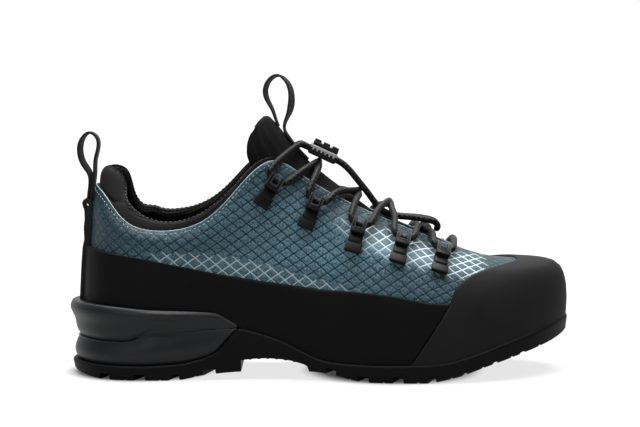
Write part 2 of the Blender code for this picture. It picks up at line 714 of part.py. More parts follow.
def make_collar_cuff():
    """Padded collar inside the top edge, standing above it from one side of the throat round the heel."""
    front = -29.0
    around = [u - 1 if u > 0.5 else u for u in RING if sole_edge(u)[0][0] < front]
    rings = []
    for u in sorted(around):
        height, pad = float(COLUMN["cuff"](u)[0]), float(COLUMN["pad"](u)[0])
        edge, n = on_upper(u, 1), normal_at(u, 1)
        up = on_upper(u, 1) - on_upper(u, 0.96)
        up /= np.linalg.norm(up)
        start = WALL + GAP
        rings.append([
            on_upper(u, 0.75, -start),
            on_upper(u, 0.9, -start),
            edge - n * start - up * 0.2,
            edge - n * (start - 0.6) + up * max(0.9, 0.18 * height),
            edge - n * (0.12 * pad + 0.6) + up * 0.62 * height,
            edge - n * 0.34 * pad + up * 0.94 * height,
            edge - n * 0.62 * pad + up * height,
            edge - n * 0.92 * pad + up * 0.62 * height,
            edge - n * pad - up * 1.5,
            on_upper(u, 0.9, -0.9 * pad),
            on_upper(u, 0.75, -start - 1.2),
        ])
    bm = bmesh.new()
    made = skin(bm, rings, closed=True)
    for ring in (made[0], made[-1]):
        bm.faces.new(ring)
    return place("collar_cuff", mesh_of("collar_cuff", bm), "cuff_fabric")


def make_tongue():
    """Padded tongue: bowed across, thickest at its top, running in under the vamp."""
    rows = np.array(TONGUE_ROWS, float)
    along = np.concatenate([[0], np.cumsum(np.linalg.norm(np.diff(rows[:, :2], axis=0), axis=1))])
    line = spline(along, rows)
    rings = []
    for s in np.linspace(0, along[-1], 16):
        x, z, half, fall, thick = line(s)
        before, after = line(max(0, s - 1)), line(min(along[-1], s + 1))
        run = (after - before)[:2] / np.linalg.norm((after - before)[:2])
        out = np.array([run[1], -run[0]]) * (1 if run[1] > 0 else -1)
        out = out if out[0] + out[1] > 0 else -out
        ring = []
        for back in (0, 1):
            for q in np.linspace(-1, 1, TONGUE_ACROSS + 1)[:: 1 - 2 * back]:
                edge = 1 - 0.55 * q**4
                depth = fall * q * q + (thick * edge if back else thick * (1 - edge) * 0.3)
                ring.append((x - out[0] * depth, TONGUE_MIDDLE + q * half, z - out[1] * depth))
        rings.append(ring)
    bm = bmesh.new()
    made = skin(bm, rings, closed=True)
    for ring in (made[0], made[-1]):
        for i in range(TONGUE_ACROSS):
            bm.faces.new((ring[i], ring[i + 1], ring[-2 - i], ring[-1 - i]))
    return place("tongue", mesh_of("tongue", bm), "cuff_fabric")


# Webbing


def make_webbing():
    middle = HEEL_TIP[1]
    heel = [(x, z) for x, z in through(HEEL_LOOP_ROUTE, 3.2)]
    ribbon("heel_pull_loop", heel, HEEL_LOOP_WIDTH, middle, "webbing")
    top = [(x, z) for x, z in through(TONGUE_LOOP_ROUTE, 3.2)]
    ribbon("tongue_pull_loop", top, TONGUE_LOOP_WIDTH, TONGUE_MIDDLE, "webbing")
    make_heel_strap()


def make_heel_strap():
    """Doubled webbing up the back of the heel: close to rand and upper inside, straight outside."""
    low, high = wedge_lip(HEEL_TIP[0]) + 0.8, HEEL_STRAP_TOP
    on_rand = OVERLAY_GAP + RAND_THICK + 2.5 * GAP
    inside = []
    for v in np.linspace(0, 0.8, 17):
        bare = v > RAND_SHARE + 0.02
        x, _, z = on_upper(0, v, HEEL_STRAP_CLEAR if bare else on_rand)
        if low < z < high - 2 and (bare or v < RAND_SHARE + 0.01):
            inside.append((x, z))
    turn = (inside[-1][0] - HEEL_STRAP_BACK) / 2
    middle = HEEL_STRAP_BACK + turn
    bend = [
        (middle + turn * math.cos(a), high - turn + turn * math.sin(a)) for a in np.radians(range(30, 180, 30))
    ]
    inside.insert(0, (inside[0][0], low))
    outside = [(HEEL_STRAP_BACK, high - turn)]
    outside += [(min(HEEL_STRAP_BACK, x - WEBBING_THICK), z) for x, z in reversed(inside[:-1])]
    eye = [
        (middle + HEEL_EYE * math.cos(a), high - turn + HEEL_EYE * math.sin(a))
        for a in np.radians(range(0, 360, 45))
    ]
    data = bpy.data.curves.new("heel_strap", "CURVE")
    data.dimensions, data.fill_mode, data.extrude = "2D", "BOTH", HEEL_STRAP_WIDTH / 2 * MM
    for points in ([*inside, *bend, *outside], eye):
        line = data.splines.new("POLY")
        line.points.add(len(points) - 1)
        line.use_cyclic_u = True
        for point, (x, z) in zip(line.points, points):
            point.co = (x * MM, z * MM, 0, 1)
    upright = Matrix.Translation((0, HEEL_TIP[1] * MM, 0)) @ Matrix.Rotation(math.pi / 2, 4, "X")
    return curve_as_mesh(place("heel_strap", data, "webbing", upright))


# Lacing


def share_of_top(x, side):
    """Share of the sole's edge whose rib reaches the throat's edge at x."""
    ring = np.linspace(0.08, 0.49, 120)
    shares = ring if side == LATERAL else 1 - ring
    tops = [on_upper(u, 1)[0] for u in shares]
    return float(np.interp(x, tops, shares))


@lru_cache(maxsize=None)
def holder_frame(number, side):
    """Axes of a lace holder on the upper: along the throat, towards it, and out of the upper."""
    x, z, lean, _ = HOLDER_ROWS[number]
    foot = share_at(x + 4, side)
    near = [(foot + du, v) for du in np.linspace(-0.05, 0.05, 61) for v in np.linspace(0.5, 0.97, 95)]
    u, v = min(near, key=lambda q: np.hypot(*(on_upper(*q)[[0, 2]] - (x, z))))
    middle, n = on_upper(u, v), normal_at(u, v)
    ahead, up = math.sin(math.radians(lean)), math.cos(math.radians(lean))
    towards = np.array([ahead, -(n[0] * ahead + n[2] * up) / n[1], up])
    towards /= np.linalg.norm(towards)
    matrix = Matrix.Identity(4)
    for k, axis in enumerate((np.cross(towards, n), towards, n)):
        matrix.col[k][:3] = axis
    matrix.translation = Vector(middle) * MM
    return matrix


def in_holder(number, side, x, y, z):
    """A point, in millimetres, from a holder's own axes. Positive x is always towards the toe."""
    frame = holder_frame(number, side)
    forward = 1 if frame.col[0][0] > 0 else -1
    return np.array(frame @ (Vector((x * forward, y, z)) * MM)) / MM


def make_lace_holders():
    bm = block((HOLDER_WIDTH, TAB_LENGTH, TAB_THICK), 0.7, 1)
    seat = TAB_THICK / 2 + 2 * GAP
    middle = -LOOP_LENGTH / 2 - GAP / 2
    bmesh.ops.translate(bm, verts=bm.verts, vec=Vector((0, middle, seat)) * MM)
    tab = mesh_of("lace_tab", bm)
    loop = lace_loop_mesh()
    for side, word in SIDE_NAMES.items():
        for number in range(len(HOLDER_ROWS)):
            frame = holder_frame(number, side)
            place(f"lace_tab_{word}_{number + 1}", tab, "webbing", frame)
            place(f"lace_loop_{word}_{number + 1}", loop, "loop_plastic", frame)


def lace_loop_mesh():
    """A forked plate held up off the upper on a foot bar: the lace runs under its two prongs."""
    start = TAB_LENGTH / 2 - LOOP_LENGTH / 2
    half, inner = HOLDER_WIDTH / 2, LOOP_SLOT / 2
    bar = 2.4
    end, crook = start + LOOP_LENGTH, start + bar + inner
    turns = np.radians(range(0, 181, 30))
    slot = [(inner * math.cos(a), crook - inner * math.sin(a)) for a in turns]
    outline = [(-half, start), (half, start), (half, end), (inner, end), *slot, (-inner, end), (-half, end)]
    low, high = LOOP_LIFT, LOOP_LIFT + LOOP_THICK
    bm = bmesh.new()
    for ring in skin(bm, [[(x, y, z) for x, y in outline] for z in (low, high)], closed=True):
        bm.faces.new(ring)
    bm.faces.ensure_lookup_table()
    foot = [f for f in bm.faces if all(v.co.z < (low + 0.1) * MM for v in f.verts)]
    cutting = [*foot, *{e for f in foot for e in f.edges}, *{v for f in foot for v in f.verts}]
    bmesh.ops.bisect_plane(bm, geom=cutting, plane_co=(0, (start + bar - 0.4) * MM, 0), plane_no=(0, 1, 0))
    bm.faces.ensure_lookup_table()
    lowest, back = (low + 0.1) * MM, (start + bar) * MM
    foot = [f for f in bm.faces if all(v.co.z < lowest and v.co.y < back for v in f.verts)]
    pulled = bmesh.ops.extrude_face_region(bm, geom=foot)
    down = [v for v in pulled["geom"] if isinstance(v, bmesh.types.BMVert)]
    bmesh.ops.translate(bm, verts=down, vec=(0, 0, (2 * GAP - low) * MM))
    bmesh.ops.delete(bm, geom=[f for f in foot if f.is_valid], context="FACES_ONLY")
    return mesh_of("lace_loop", bm)


def beside(number, side, towards_toe):
    """Where the lace leaves a holder, and where it passes over the throat's edge next to it."""
    reach = HOLDER_WIDTH / 2 + LACE_DIAMETER / 2 + 0.7
    leave = in_holder(number, side, towards_toe * reach, 5.6, LOOP_LIFT)
    x = HOLDER_ROWS[number][3] + towards_toe * 6.5
    u = share_of_top(float(np.clip(x, -29, 80)), side)
    return leave, on_upper(u, 1, LACE_DIAMETER / 2 + 2.2)


def strand(first, second, middle):
    """Route of a lace from one holder over the tongue to another."""
    leave, over = first
    reach, across = second
    return [leave, over, np.array(middle, float), across, reach]


def make_laces():
    spacing = 2.2 * LACE_DIAMETER
    for number, (x, z) in enumerate(CROSSING_ROWS):
        middle = (x, TONGUE_MIDDLE, z)
        pair = []
        for side in (LATERAL, MEDIAL):
            route = strand(beside(number, side, 1), beside(number + 1, -side, -1), middle)
            name = f"lace_crossing_{number + 1}" if side == LATERAL else f"lace_cutter_{number + 1}"
            cord = tube(name, through(route, spacing), "lace_cord" if side == LATERAL else None)
            pair.append(curve_as_mesh(cord))
        cut(pair[0], pair[1], "UNION")
    last = len(HOLDER_ROWS) - 1
    bar = strand(beside(last, LATERAL, 1), beside(last, MEDIAL, 1), BAR_MIDDLE)
    tube("lace_bar", through(bar, spacing), "lace_cord")
    for side, word in SIDE_NAMES.items():
        leave, over = beside(0, side, -1)
        lock = lock_point(-LOCK_SIZE[0] / 2 - 2 * GAP, side * STRAND_SPREAD, 0)
        before = lock_point(-LOCK_SIZE[0] / 2 - 4, side * STRAND_SPREAD * 1.05, 0)
        tube(f"lace_end_{word}", through([leave, over, before, lock], spacing), "lace_cord")
    back = [(x, -y, z) for x, y, z in reversed(TAIL_ROUTE[:-1])]
    start = lock_point(LOCK_SIZE[0] / 2 + 2 * GAP, -STRAND_SPREAD, 0)
    route = [start, *TAIL_ROUTE, *back, start * (1, -1, 1)]
    tube("lace_tail", through(route, 2.0 * LACE_DIAMETER), "lace_cord")


def lock_frame():
    tilt = Matrix.Rotation(math.radians(LOCK_TILT), 4, "Y")
    return Matrix.Translation(Vector(LOCK_MIDDLE) * MM) @ tilt


def lock_point(x, y, z):
    return np.array(lock_frame() @ (Vector((x, y, z)) * MM)) / MM


def make_cord_lock():
    body = mesh_of("cord_lock_body", block(LOCK_SIZE, 1.4))
    place("cord_lock_body", body, "loop_plastic", lock_frame())
    bm = block(LOCK_SLIDER_SIZE, 0.8)
    lift = (LOCK_SIZE[2] + LOCK_SLIDER_SIZE[2]) / 2 + GAP
    bmesh.ops.translate(bm, verts=bm.verts, vec=(0, 0, lift * MM))
    place("cord_lock_slider", mesh_of("cord_lock_slider", bm), "loop_plastic", lock_frame())


clear_scene()
SHOE = collection("hiking_shoe")
CUTTERS = collection("cutters")
make_outsole()
make_heel_wedge()
make_insole()
make_upper()
make_rand()
make_toe_cap()
make_collar_cuff()
make_tongue()
make_webbing()
make_lace_holders()
make_laces()
make_cord_lock()
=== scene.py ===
"""Looks of a right hiking shoe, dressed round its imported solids.

The tables are in millimetres and Blender works in metres. +X points to the toe, +Z is up and -Y is the
lateral side, which the camera sees. A place on the upper is given by u, the share of the way round the sole's
edge from the heel by the lateral side to the toe (0.5) and back, and v, the share of the way up from sole to
top edge.
"""

import math
from functools import lru_cache

import bmesh
import bpy
import numpy as np
from mathutils import Matrix, Vector


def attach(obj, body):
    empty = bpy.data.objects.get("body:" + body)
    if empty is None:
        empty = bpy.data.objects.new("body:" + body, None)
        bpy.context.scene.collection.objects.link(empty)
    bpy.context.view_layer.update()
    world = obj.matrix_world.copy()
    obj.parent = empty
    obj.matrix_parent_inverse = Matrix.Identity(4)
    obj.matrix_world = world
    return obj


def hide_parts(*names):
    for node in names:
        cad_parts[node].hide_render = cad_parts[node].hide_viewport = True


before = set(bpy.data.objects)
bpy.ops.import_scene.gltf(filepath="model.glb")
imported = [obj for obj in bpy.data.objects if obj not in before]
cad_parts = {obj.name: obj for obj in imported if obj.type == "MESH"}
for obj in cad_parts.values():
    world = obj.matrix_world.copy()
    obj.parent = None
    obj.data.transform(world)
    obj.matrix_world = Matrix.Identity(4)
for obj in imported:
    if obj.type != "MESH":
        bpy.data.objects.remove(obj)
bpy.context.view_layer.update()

MM = 0.001
LATERAL, MEDIAL = -1, 1
SIDE_NAMES = {LATERAL: "lateral", MEDIAL: "medial"}

# Sizes shared with the solids
HEEL_TIP = (-148.5, -2.0)
TOE_TIP = (150.0, 8.0)
GAP = 0.3
OVERLAY_GAP = 0.7
WALL = 2.2
RAND_THICK = 2.0
CAP_THICK = 2.5
INSOLE_THICK = 4.0
LACE_DIAMETER = 3.8
TONGUE_MIDDLE = -1.2
RAND_SHARE = 0.3

# How far the rand's top runs above that share of the upper: x, height
RAND_RAISE = (
    (-150, 0), (-132, 0.5), (-115, 1.4), (-100, 2.0), (-84, 1.9), (-72, 1.5), (-59, 0.85), (-45, 0.4),
    (-32, 0), (0, 0), (12, 0.7), (22, 1.4), (38, 1.7), (50, 1.1), (64, 0), (151, 0),
)

# Edge of the sole seen from above: x, lateral y, medial y
SOLE_PLAN = (
    (-143, -21, 17), (-128, -37, 33), (-105, -43, 39), (-75, -41.5, 37.5), (-45, -38, 33), (-20, -38.5, 32),
    (5, -44, 37), (30, -51, 46), (55, -53.5, 52), (80, -51, 53.5), (105, -43, 50.5), (126, -30.5, 43),
    (141, -14, 31),
)

# Lines of the sole seen from the side: x, z
GROUND_LINE = (
    (-149, 3.2), (-146, 2.1), (-140, 1.2), (-134, 0.5), (-128, 0), (-85, 0), (-66, 3), (-46, 4.5), (-6, 5),
    (5, 4), (16, 1.6), (26, 0), (60, 0), (78, 2.8), (98, 8.8), (123, 15.8), (140, 20.4), (151, 24.5),
)
OUTSOLE_TOP_LINE = (
    (-151, 8.9), (-107, 8.4), (-80, 9.9), (-75, 11), (-67.8, 12.9), (-59.8, 16.8), (-54, 23.4), (-48.3, 29.2),
    (-47, 29.8), (-40, 28.4), (-32, 26), (-22, 22.4), (-10, 16.6), (-2, 13), (7, 11), (32, 10.2), (52, 10.5),
    (72, 11.6), (82, 13.8), (94, 17.3), (107, 21.7), (120, 25.6), (134, 29.6), (151, 33.8),
)
CUP_FLOOR_LINE = ((-151, 34), (-70, 34), (-58, 33), (-47, 30.2))
WEDGE_LIP_LINE = ((-151, 43.6), (-125, 43), (-99, 41), (-77, 40), (-60.5, 38.5), (-55.4, 35.9), (-47, 30.9))
WEDGE_STEP_LINE = (
    (-151, 23.5), (-142, 23.2), (-125, 22.9), (-117, 22.9), (-110, 23.7), (-104, 26.2), (-97, 28.4),
    (-82, 28.9), (-47, 30.4),
)
ARCH_LINE = ((-46.2, 11.4), (-38, 12.3), (-31, 12.5), (-19, 11.6), (-11, 9.8), (-7.6, 8.4), (-6.4, 5.4))
WEDGE_FRONT = -48.6
# Over this length behind its front the wedge's overhang grows
WEDGE_GROWS = 42
# The wedge's rounded rim: share of the way in from its lip, rise
WEDGE_RIM = ((0.15, 0.35), (0.35, 0.5), (0.7, 0.4))

# Sections of the upper, one row for each rib from heel to toe, as in the solids but for a higher toe
UPPER_COLUMNS = (
    "foot_x", "foot_in", "wall_in", "wall_z", "brow_in", "brow_z", "sh_k", "sh_z",
    "top_x", "top_lat", "top_med", "top_z", "med_rise", "cuff", "pad",
)
UPPER_ROWS = (
    (-148.5, 8.5, 10.8, 76.0, 11.6, 89, 0.88, 101, -134, -2, -2, 112.5, 0, 11.5, 10),
    (-139, 8, 9.8, 74.8, 10.8, 86, 0.70, 96, -126.5, -18.5, 14.5, 106, 4, 16, 11),
    (-118, 6, 7.4, 71.4, 8.4, 80, 0.66, 86, -113, -29, 25, 91.5, 8, 12.5, 10.5),
    (-93, 5.5, 6.4, 66.8, 7.2, 75, 0.62, 81, -91, -32.5, 28.5, 86.7, 7, 5.5, 8.5),
    (-70, 5, 6.2, 62.7, 7.0, 74, 0.60, 84, -66, -33, 29, 94, 6, 5, 7.5),
    (-48, 4.5, 5.6, 59.3, 7.2, 77, 0.60, 97, -45, -30, 26.5, 115, 3.5, 4.5, 6),
    (-30, 4.5, 5.4, 56.9, 7.6, 78, 0.55, 103, -29, -22.5, 20, 127, 1, 2.6, 3.9),
    (-8, 4.5, 5.4, 54.0, 8.6, 73, 0.52, 94.8, -10, -19, 17.5, 118.3, 0, 0, 0),
    (28, 4.5, 5.6, 50.0, 10.5, 66, 0.52, 82.8, 24, -16.5, 16.5, 99.3, 0, 0, 0),
    (62, 4.5, 6.0, 46.5, 12, 61.0, 0.52, 73.2, 56, -13.5, 15, 85.4, 0, 0, 0),
    (92, 4.5, 6.0, 45.0, 12, 57.8, 0.50, 67.8, 74, -7.5, 12.5, 78.0, 0, 0, 0),
    (128, 4, 4.6, 46.5, 9.2, 59.8, 0.48, 66.4, 80.8, -1.5, 8, 75.0, 0, 0, 0),
    (150, 4, 3.6, 47.5, 7.6, 61.6, 0.48, 66.6, 82.5, 3.2, 3.2, 74.2, 0, 0, 0),
)
GUIDE_SHARES = (0.0, 0.3, 0.5, 0.75, 1.0)
MEDIAL_LIFT = {"brow": 0.3, "shoulder": 0.7, "top": 1.0}

# Back edge of the toe cap seen from the side: height z, then x
CAP_EDGE = (
    (8, 51), (14, 54.5), (30, 65), (44.7, 74.5), (54, 78.5), (57, 82), (60.3, 88), (63.2, 98), (65.4, 110),
    (66.4, 118), (68, 123),
)

# Tongue, from its end under the vamp to its top: middle x, z, half width, fall at the edges, thickness
TONGUE_ROWS = (
    (92, 66.6, 9, 2, 2.2), (77, 72.4, 9, 3, 2.8), (56, 83.5, 13, 6, 3.5), (40, 91, 15.5, 8, 4.0),
    (24, 102.2, 17.5, 12, 4.5), (1, 119.6, 19, 16, 5.5), (-14, 134, 16.8, 23, 8.5),
    (-23, 145, 20.5, 21.5, 8.5), (-28.5, 151.2, 20.5, 15.6, 7.0), (-32, 154.6, 17.5, 7.5, 4.5),
)
# Sewn channels along each side of the tongue: share of its half width, depth
TONGUE_CHANNELS = ((0.88, 1.5), (0.72, 1.4), (0.54, 0.9))
CHANNEL_HALF = 0.05

# Lace holders, from the ankle to the toe: middle x and z, lean in degrees, x where the lace crosses the edge
HOLDER_ROWS = (
    (-30.4, 109.3, 32, -22.0), (-5.4, 96.8, 24, 1.5), (21.0, 82.8, 18, 26.0), (46.7, 75.6, 16, 49.6),
    (70.4, 69.0, 12, 72.0),
)
MEDIAL_DROP = (0, 0, 0, 1.5, 4.5)
HOLDER_WIDTH = 8.6
LOOP_LIFT = 4.6
LOOP_THICK = 1.9

# The lace: middle of each crossing (x, z), then how far its two strands pass over and under that
CROSSING_ROWS = (
    (-0.8, 125.6, 0.6, 1.2), (23.0, 107.4, 1.5, 0.7), (41.2, 100.9, 1.5, 0.7), (61.0, 86.2, 1.5, 0.7),
)
BAR_MIDDLE = (81.0, 3.0, 78.6)
LOCK_MIDDLE = (1.7, 0.0, 130.5)
LOCK_SIZE = (18.0, 13.0, 6.0)
LOCK_SLIDER_SIZE = (16.0, 11.0, 3.4)
LOCK_TILT = 25.0
# The strands behind the lock: distance from its rear, and outwards, to pass beside the tongue's loop
LOCK_WAY = ((1.0, 0.0), (-3.0, 1.8), (-6.5, 5.4))
STRAND_SPREAD = 2.4
CORD_SIDES = 14
TAIL_ROUTE = (
    (12.2, -2.4, 125.4), (16.0, -2.5, 122.4), (22.4, -2.6, 115.0), (28.8, -2.5, 106.9), (33.8, -2.4, 100.2),
    (38.6, -2.3, 95.7), (44.5, -2.3, 93.6), (51, -2.8, 92.8), (58, -4.6, 92.2), (64, -6.0, 91.2),
    (69.5, -4.6, 89.2), (70.6, -2.6, 86.8), (70.2, 0, 85.6),
)

# The lace's way under a holder, from its heel side to its toe side, in the holder's own axes
HOLDER_WAY = ((-6.4, 10.2, 4.1), (-4.3, 8.2, 2.8), (0, 7.6, 2.6), (4.3, 8.2, 2.8), (6.4, 10.2, 4.1))

# Webbing, seen from the side: x, z
HEEL_LOOP_ROUTE = (
    (-136.6, 102.4), (-136.3, 106), (-135.3, 113), (-134.6, 119), (-134.2, 127), (-132.6, 134),
    (-133.4, 140.5), (-137.6, 143.2), (-141.8, 139.6), (-143.4, 132), (-141.2, 124.5), (-137.6, 118.5),
    (-137.3, 113), (-138.3, 106), (-138.6, 102.4),
)
TONGUE_LOOP_ROUTE = (
    (-24.6, 147.0), (-26.4, 151.2), (-28.4, 157), (-32.2, 165), (-31.4, 172.4), (-25.2, 177.2), (-19.4, 173),
    (-17.0, 164), (-18.8, 154), (-20.9, 149), (-21.2, 145.2), (-19.0, 141.2), (-14.2, 134.9), (-7.0, 127.2),
)

# How far each loop's webbing is twisted along it: share of its length, degrees
HEEL_LOOP_TWIST = ((0, 0), (0.3, -2), (0.5, 2), (0.62, 9), (0.76, 9), (0.9, 2), (1, 0))
TONGUE_LOOP_TWIST = (
    (0, 0), (0.12, -6), (0.24, -13), (0.34, -9), (0.42, 6), (0.52, 16), (0.6, 20), (0.68, 10), (0.76, 2),
    (1, 0),
)

# Back of the heel strap seen from the side, with the fold at its top: z, x
STRAP_BACK = (
    (43, -144.4), (60, -143.5), (75, -142.4), (80, -141.5), (86, -141.7), (92, -141.1), (97, -141.2),
    (99.5, -142.1), (101.5, -142.4), (103, -141.7),
)
# The top of that fold: x, z. The eye in it: middle x, z, radius
STRAP_TOP = ((-137.4, 103.2), (-138.8, 104.1), (-140.3, 104.0))
STRAP_EYE = (-139.2, 100.0, 1.3)
WEBBING_THICK = 1.5
HEEL_LOOP_WIDTH = 10.0
TONGUE_LOOP_WIDTH = 9.0

# Tread: middle x of each edge groove, of each middle groove, and of each fine sipe between the edge grooves
EDGE_GROOVES = (-124, -103, -83, -62, 8, 27, 47, 67, 86, 104, 121)
MIDDLE_GROOVES = (-113, -92, -72, 18, 38, 58, 78, 97, 114)
SIPES = (-138, -113.5, -93, -72.5, 17.5, 37, 57, 76.5, 95, 112.5, 130)
GROOVE_SLANT = 18.0
# Their sizes along x, across and down. Towards the toe the edge grooves shrink to nicks
GROOVE_SIZE = np.array((6.5, 20.0, 7.2))
NICK_SIZE = np.array((3.0, 20.0, 2.8))
MIDDLE_GROOVE_SIZE = (6.5, 17.0, 7.2)
SIPE_SIZE = (1.5, 9.0, 3.4)
# How far in from the sole's edge their middles lie
GROOVE_IN = 8.0
SIPE_IN = 3.0

# Ripstop grid: width and height of one diamond, and how much it leans
CELL_WIDE = 8.2
CELL_TALL = 6.3
CELL_LEAN = 0.07
# Behind this x the grid follows the girth of the heel
HEEL_TURN = -108.0
# Between these x it turns to a grid across the toe from side to side: its middle y, height, half width
TOE_TURN = (45, 80)
TOE_MIDDLE = 3
TOE_HEIGHT = 47
TOE_REACH = 50

# Columns and rows of the upper's grid of faces, and how far its overlays' inner faces lie off it
UPPER_GRID = (361, 64)
SKIN_SEAT = 0.12
CUFF_FRONT = -29.0

# Stitches: spacing, length, radius, and the depth of the top row below the edge
TOP_STITCH = (2.9, 1.8, 0.26)
CUFF_STITCH = (2.8, 1.9, 0.3)
TOP_STITCH_BELOW = 2.6


# Smooth curves


def spline(knots, values, closed=False):
    """A cubic curve through values at knots. A closed one has its first value again at its last knot."""
    t = np.asarray(knots, float)
    p = np.asarray(values, float).reshape(len(t), -1)
    h, last = np.diff(t), len(t) - 1
    slope = np.diff(p, axis=0) / h[:, None]
    a, b = np.zeros((last + 1, last + 1)), np.zeros_like(p)
    for i in range(1, last):
        a[i, i - 1 : i + 2] = h[i - 1], 2 * (h[i - 1] + h[i]), h[i]
        b[i] = 6 * (slope[i] - slope[i - 1])
    a[0, 0], a[last, last] = 1, 1
    if closed:
        a[0, 0], a[0, 1], a[0, last - 1] = 2 * (h[-1] + h[0]), h[0], h[-1]
        b[0] = 6 * (slope[0] - slope[-1])
        a[last, 0] = -1
    bend = np.linalg.solve(a, b)

    def at(x):
        x = t[0] + (x - t[0]) % (t[-1] - t[0]) if closed else x
        i = int(np.clip(np.searchsorted(t, x) - 1, 0, last - 1))
        l, r = t[i + 1] - x, x - t[i]
        from_near = (p[i] / h[i] - bend[i] * h[i] / 6) * l
        from_far = (p[i + 1] / h[i] - bend[i + 1] * h[i] / 6) * r
        return from_near + from_far + (bend[i] * l**3 + bend[i + 1] * r**3) / (6 * h[i])

    return at


def profile(rows):
    """Height along x through a table's rows, with no overshoot between them."""
    x, z = np.array(rows, float).T
    h = np.diff(x)
    d = np.diff(z) / h
    m = np.concatenate([[d[0]], np.zeros(len(x) - 2), [d[-1]]])
    for i in range(1, len(x) - 1):
        if d[i - 1] * d[i] > 0:
            near, far = 2 * h[i] + h[i - 1], h[i] + 2 * h[i - 1]
            m[i] = (near + far) / (near / d[i - 1] + far / d[i])

    def at(q):
        q = float(np.clip(q, x[0], x[-1]))
        i = int(np.clip(np.searchsorted(x, q) - 1, 0, len(x) - 2))
        s = (q - x[i]) / h[i]
        start, end = (1 + 2 * s) * (1 - s) ** 2 * z[i], s * s * (3 - 2 * s) * z[i + 1]
        return start + end + h[i] * s * (1 - s) * (m[i] * (1 - s) - m[i + 1] * s)

    return at


def unit(vectors):
    """The same directions with length 1."""
    vectors = np.asarray(vectors, float)
    return vectors / np.linalg.norm(vectors, axis=-1, keepdims=True)


def lengths(points):
    """Distance along a row of points from the first."""
    steps = np.diff(np.asarray(points, float), axis=0)
    return np.concatenate([[0], np.cumsum(np.linalg.norm(steps, axis=1))])


def between(x, knots, rows):
    """Rows of values, read straight between their knots at x."""
    return np.stack([np.interp(x, knots, column) for column in np.asarray(rows).T], axis=-1)


def evenly(total, spacing):
    """Distances about spacing apart from 0 to a total length."""
    return np.linspace(0, total, max(3, round(total / spacing) + 1))


def through(points, spacing):
    """Points about spacing apart on a smooth curve through a route's own points."""
    along = lengths(points)
    curve = spline(along, points)
    return np.array([curve(s) for s in evenly(along[-1], spacing)])


def rounded(points, spacing):
    """Points about spacing apart on a route with straight runs and rounded corners."""
    route = np.asarray(points, float)
    for _ in range(3):
        near, far = 0.75 * route[:-1] + 0.25 * route[1:], 0.25 * route[:-1] + 0.75 * route[1:]
        inner = np.stack([near, far], axis=1).reshape(-1, 3)
        route = np.vstack([route[:1], inner, route[-1:]])
    run = lengths(route)
    return between(evenly(run[-1], spacing), run, route)


def ease(low, high, x):
    """0 below low, 1 above high, and smooth between."""
    s = np.clip((x - low) / (high - low), 0, 1)
    return s * s * (3 - 2 * s)


def fade(low, high, x):
    """1 below low, 0 above high, and smooth between."""
    return 1 - ease(low, high, x)


def bump_at(middle, half, x):
    """1 at the middle, falling smoothly to 0 at half either side."""
    return fade(0, half, abs(x - middle))


ground = profile(GROUND_LINE)
outsole_top = profile(OUTSOLE_TOP_LINE)
cup_floor = profile(CUP_FLOOR_LINE)
wedge_lip = profile(WEDGE_LIP_LINE)
wedge_step = profile(WEDGE_STEP_LINE)
arch_roof = profile(ARCH_LINE)


def floor_height(x):
    """Height of what the upper and the footbed stand on: the wedge's cup, then the outsole."""
    return cup_floor(x) if x < CUP_FLOOR_LINE[-1][0] else outsole_top(x)


# Form of the sole's edge and of the upper, as in the solids


def outline_samples(count=1600):
    """The sole's edge seen from above: shares, points, outward directions, and which sample is the toe."""
    lateral = [(x, lat) for x, lat, _ in SOLE_PLAN]
    medial = [(x, med) for x, _, med in reversed(SOLE_PLAN)]
    ring = np.array([HEEL_TIP, *lateral, TOE_TIP, *medial, HEEL_TIP], float)
    along = lengths(ring)
    curve = spline(along, ring, closed=True)
    points = np.array([curve(s) for s in np.linspace(0, along[-1], count, endpoint=False)] + [HEEL_TIP])
    steps = lengths(points)
    toe = int(points[:, 0].argmax())
    shares = np.interp(steps, [0, steps[toe], steps[-1]], [0, 0.5, 1])
    tangent = np.gradient(points, axis=0)
    normal = np.stack([tangent[:, 1], -tangent[:, 0]], axis=1)
    return shares, points, unit(normal), toe


EDGE_SHARE, EDGE_POINT, EDGE_NORMAL, EDGE_TOE = outline_samples()


def sole_edge(u):
    """Plan point and outward direction at share u of the sole's edge."""
    u = u % 1.0
    return between(u, EDGE_SHARE, EDGE_POINT), unit(between(u, EDGE_SHARE, EDGE_NORMAL))


def share_at(x, side):
    """Share of the sole's edge where it reaches x on one side."""
    if side == LATERAL:
        return float(np.interp(x, EDGE_POINT[: EDGE_TOE + 1, 0], EDGE_SHARE[: EDGE_TOE + 1]))
    return float(np.interp(x, EDGE_POINT[EDGE_TOE:, 0][::-1], EDGE_SHARE[EDGE_TOE:][::-1]))


def upper_ring(lateral, medial):
    """A value of the ribs as a closed curve round the sole's edge, from both sides' columns."""
    feet = [row[0] for row in UPPER_ROWS]
    knots = [0.0, *[share_at(x, LATERAL) for x in feet[1:-1]], 0.5]
    knots += [share_at(x, MEDIAL) for x in reversed(feet[1:-1])] + [1.0]
    return spline(knots, [*lateral, *medial[-2:0:-1], lateral[0]], closed=True)


def upper_values(name):
    return [row[UPPER_COLUMNS.index(name)] for row in UPPER_ROWS]


COLUMN = {
    name: upper_ring(upper_values(name), upper_values(name))
    for name in UPPER_COLUMNS
    if name not in ("foot_x", "med_rise")
}
RISE = upper_ring([0] * len(UPPER_ROWS), upper_values("med_rise"))
TOP_Y = upper_ring(upper_values("top_lat"), upper_values("top_med"))


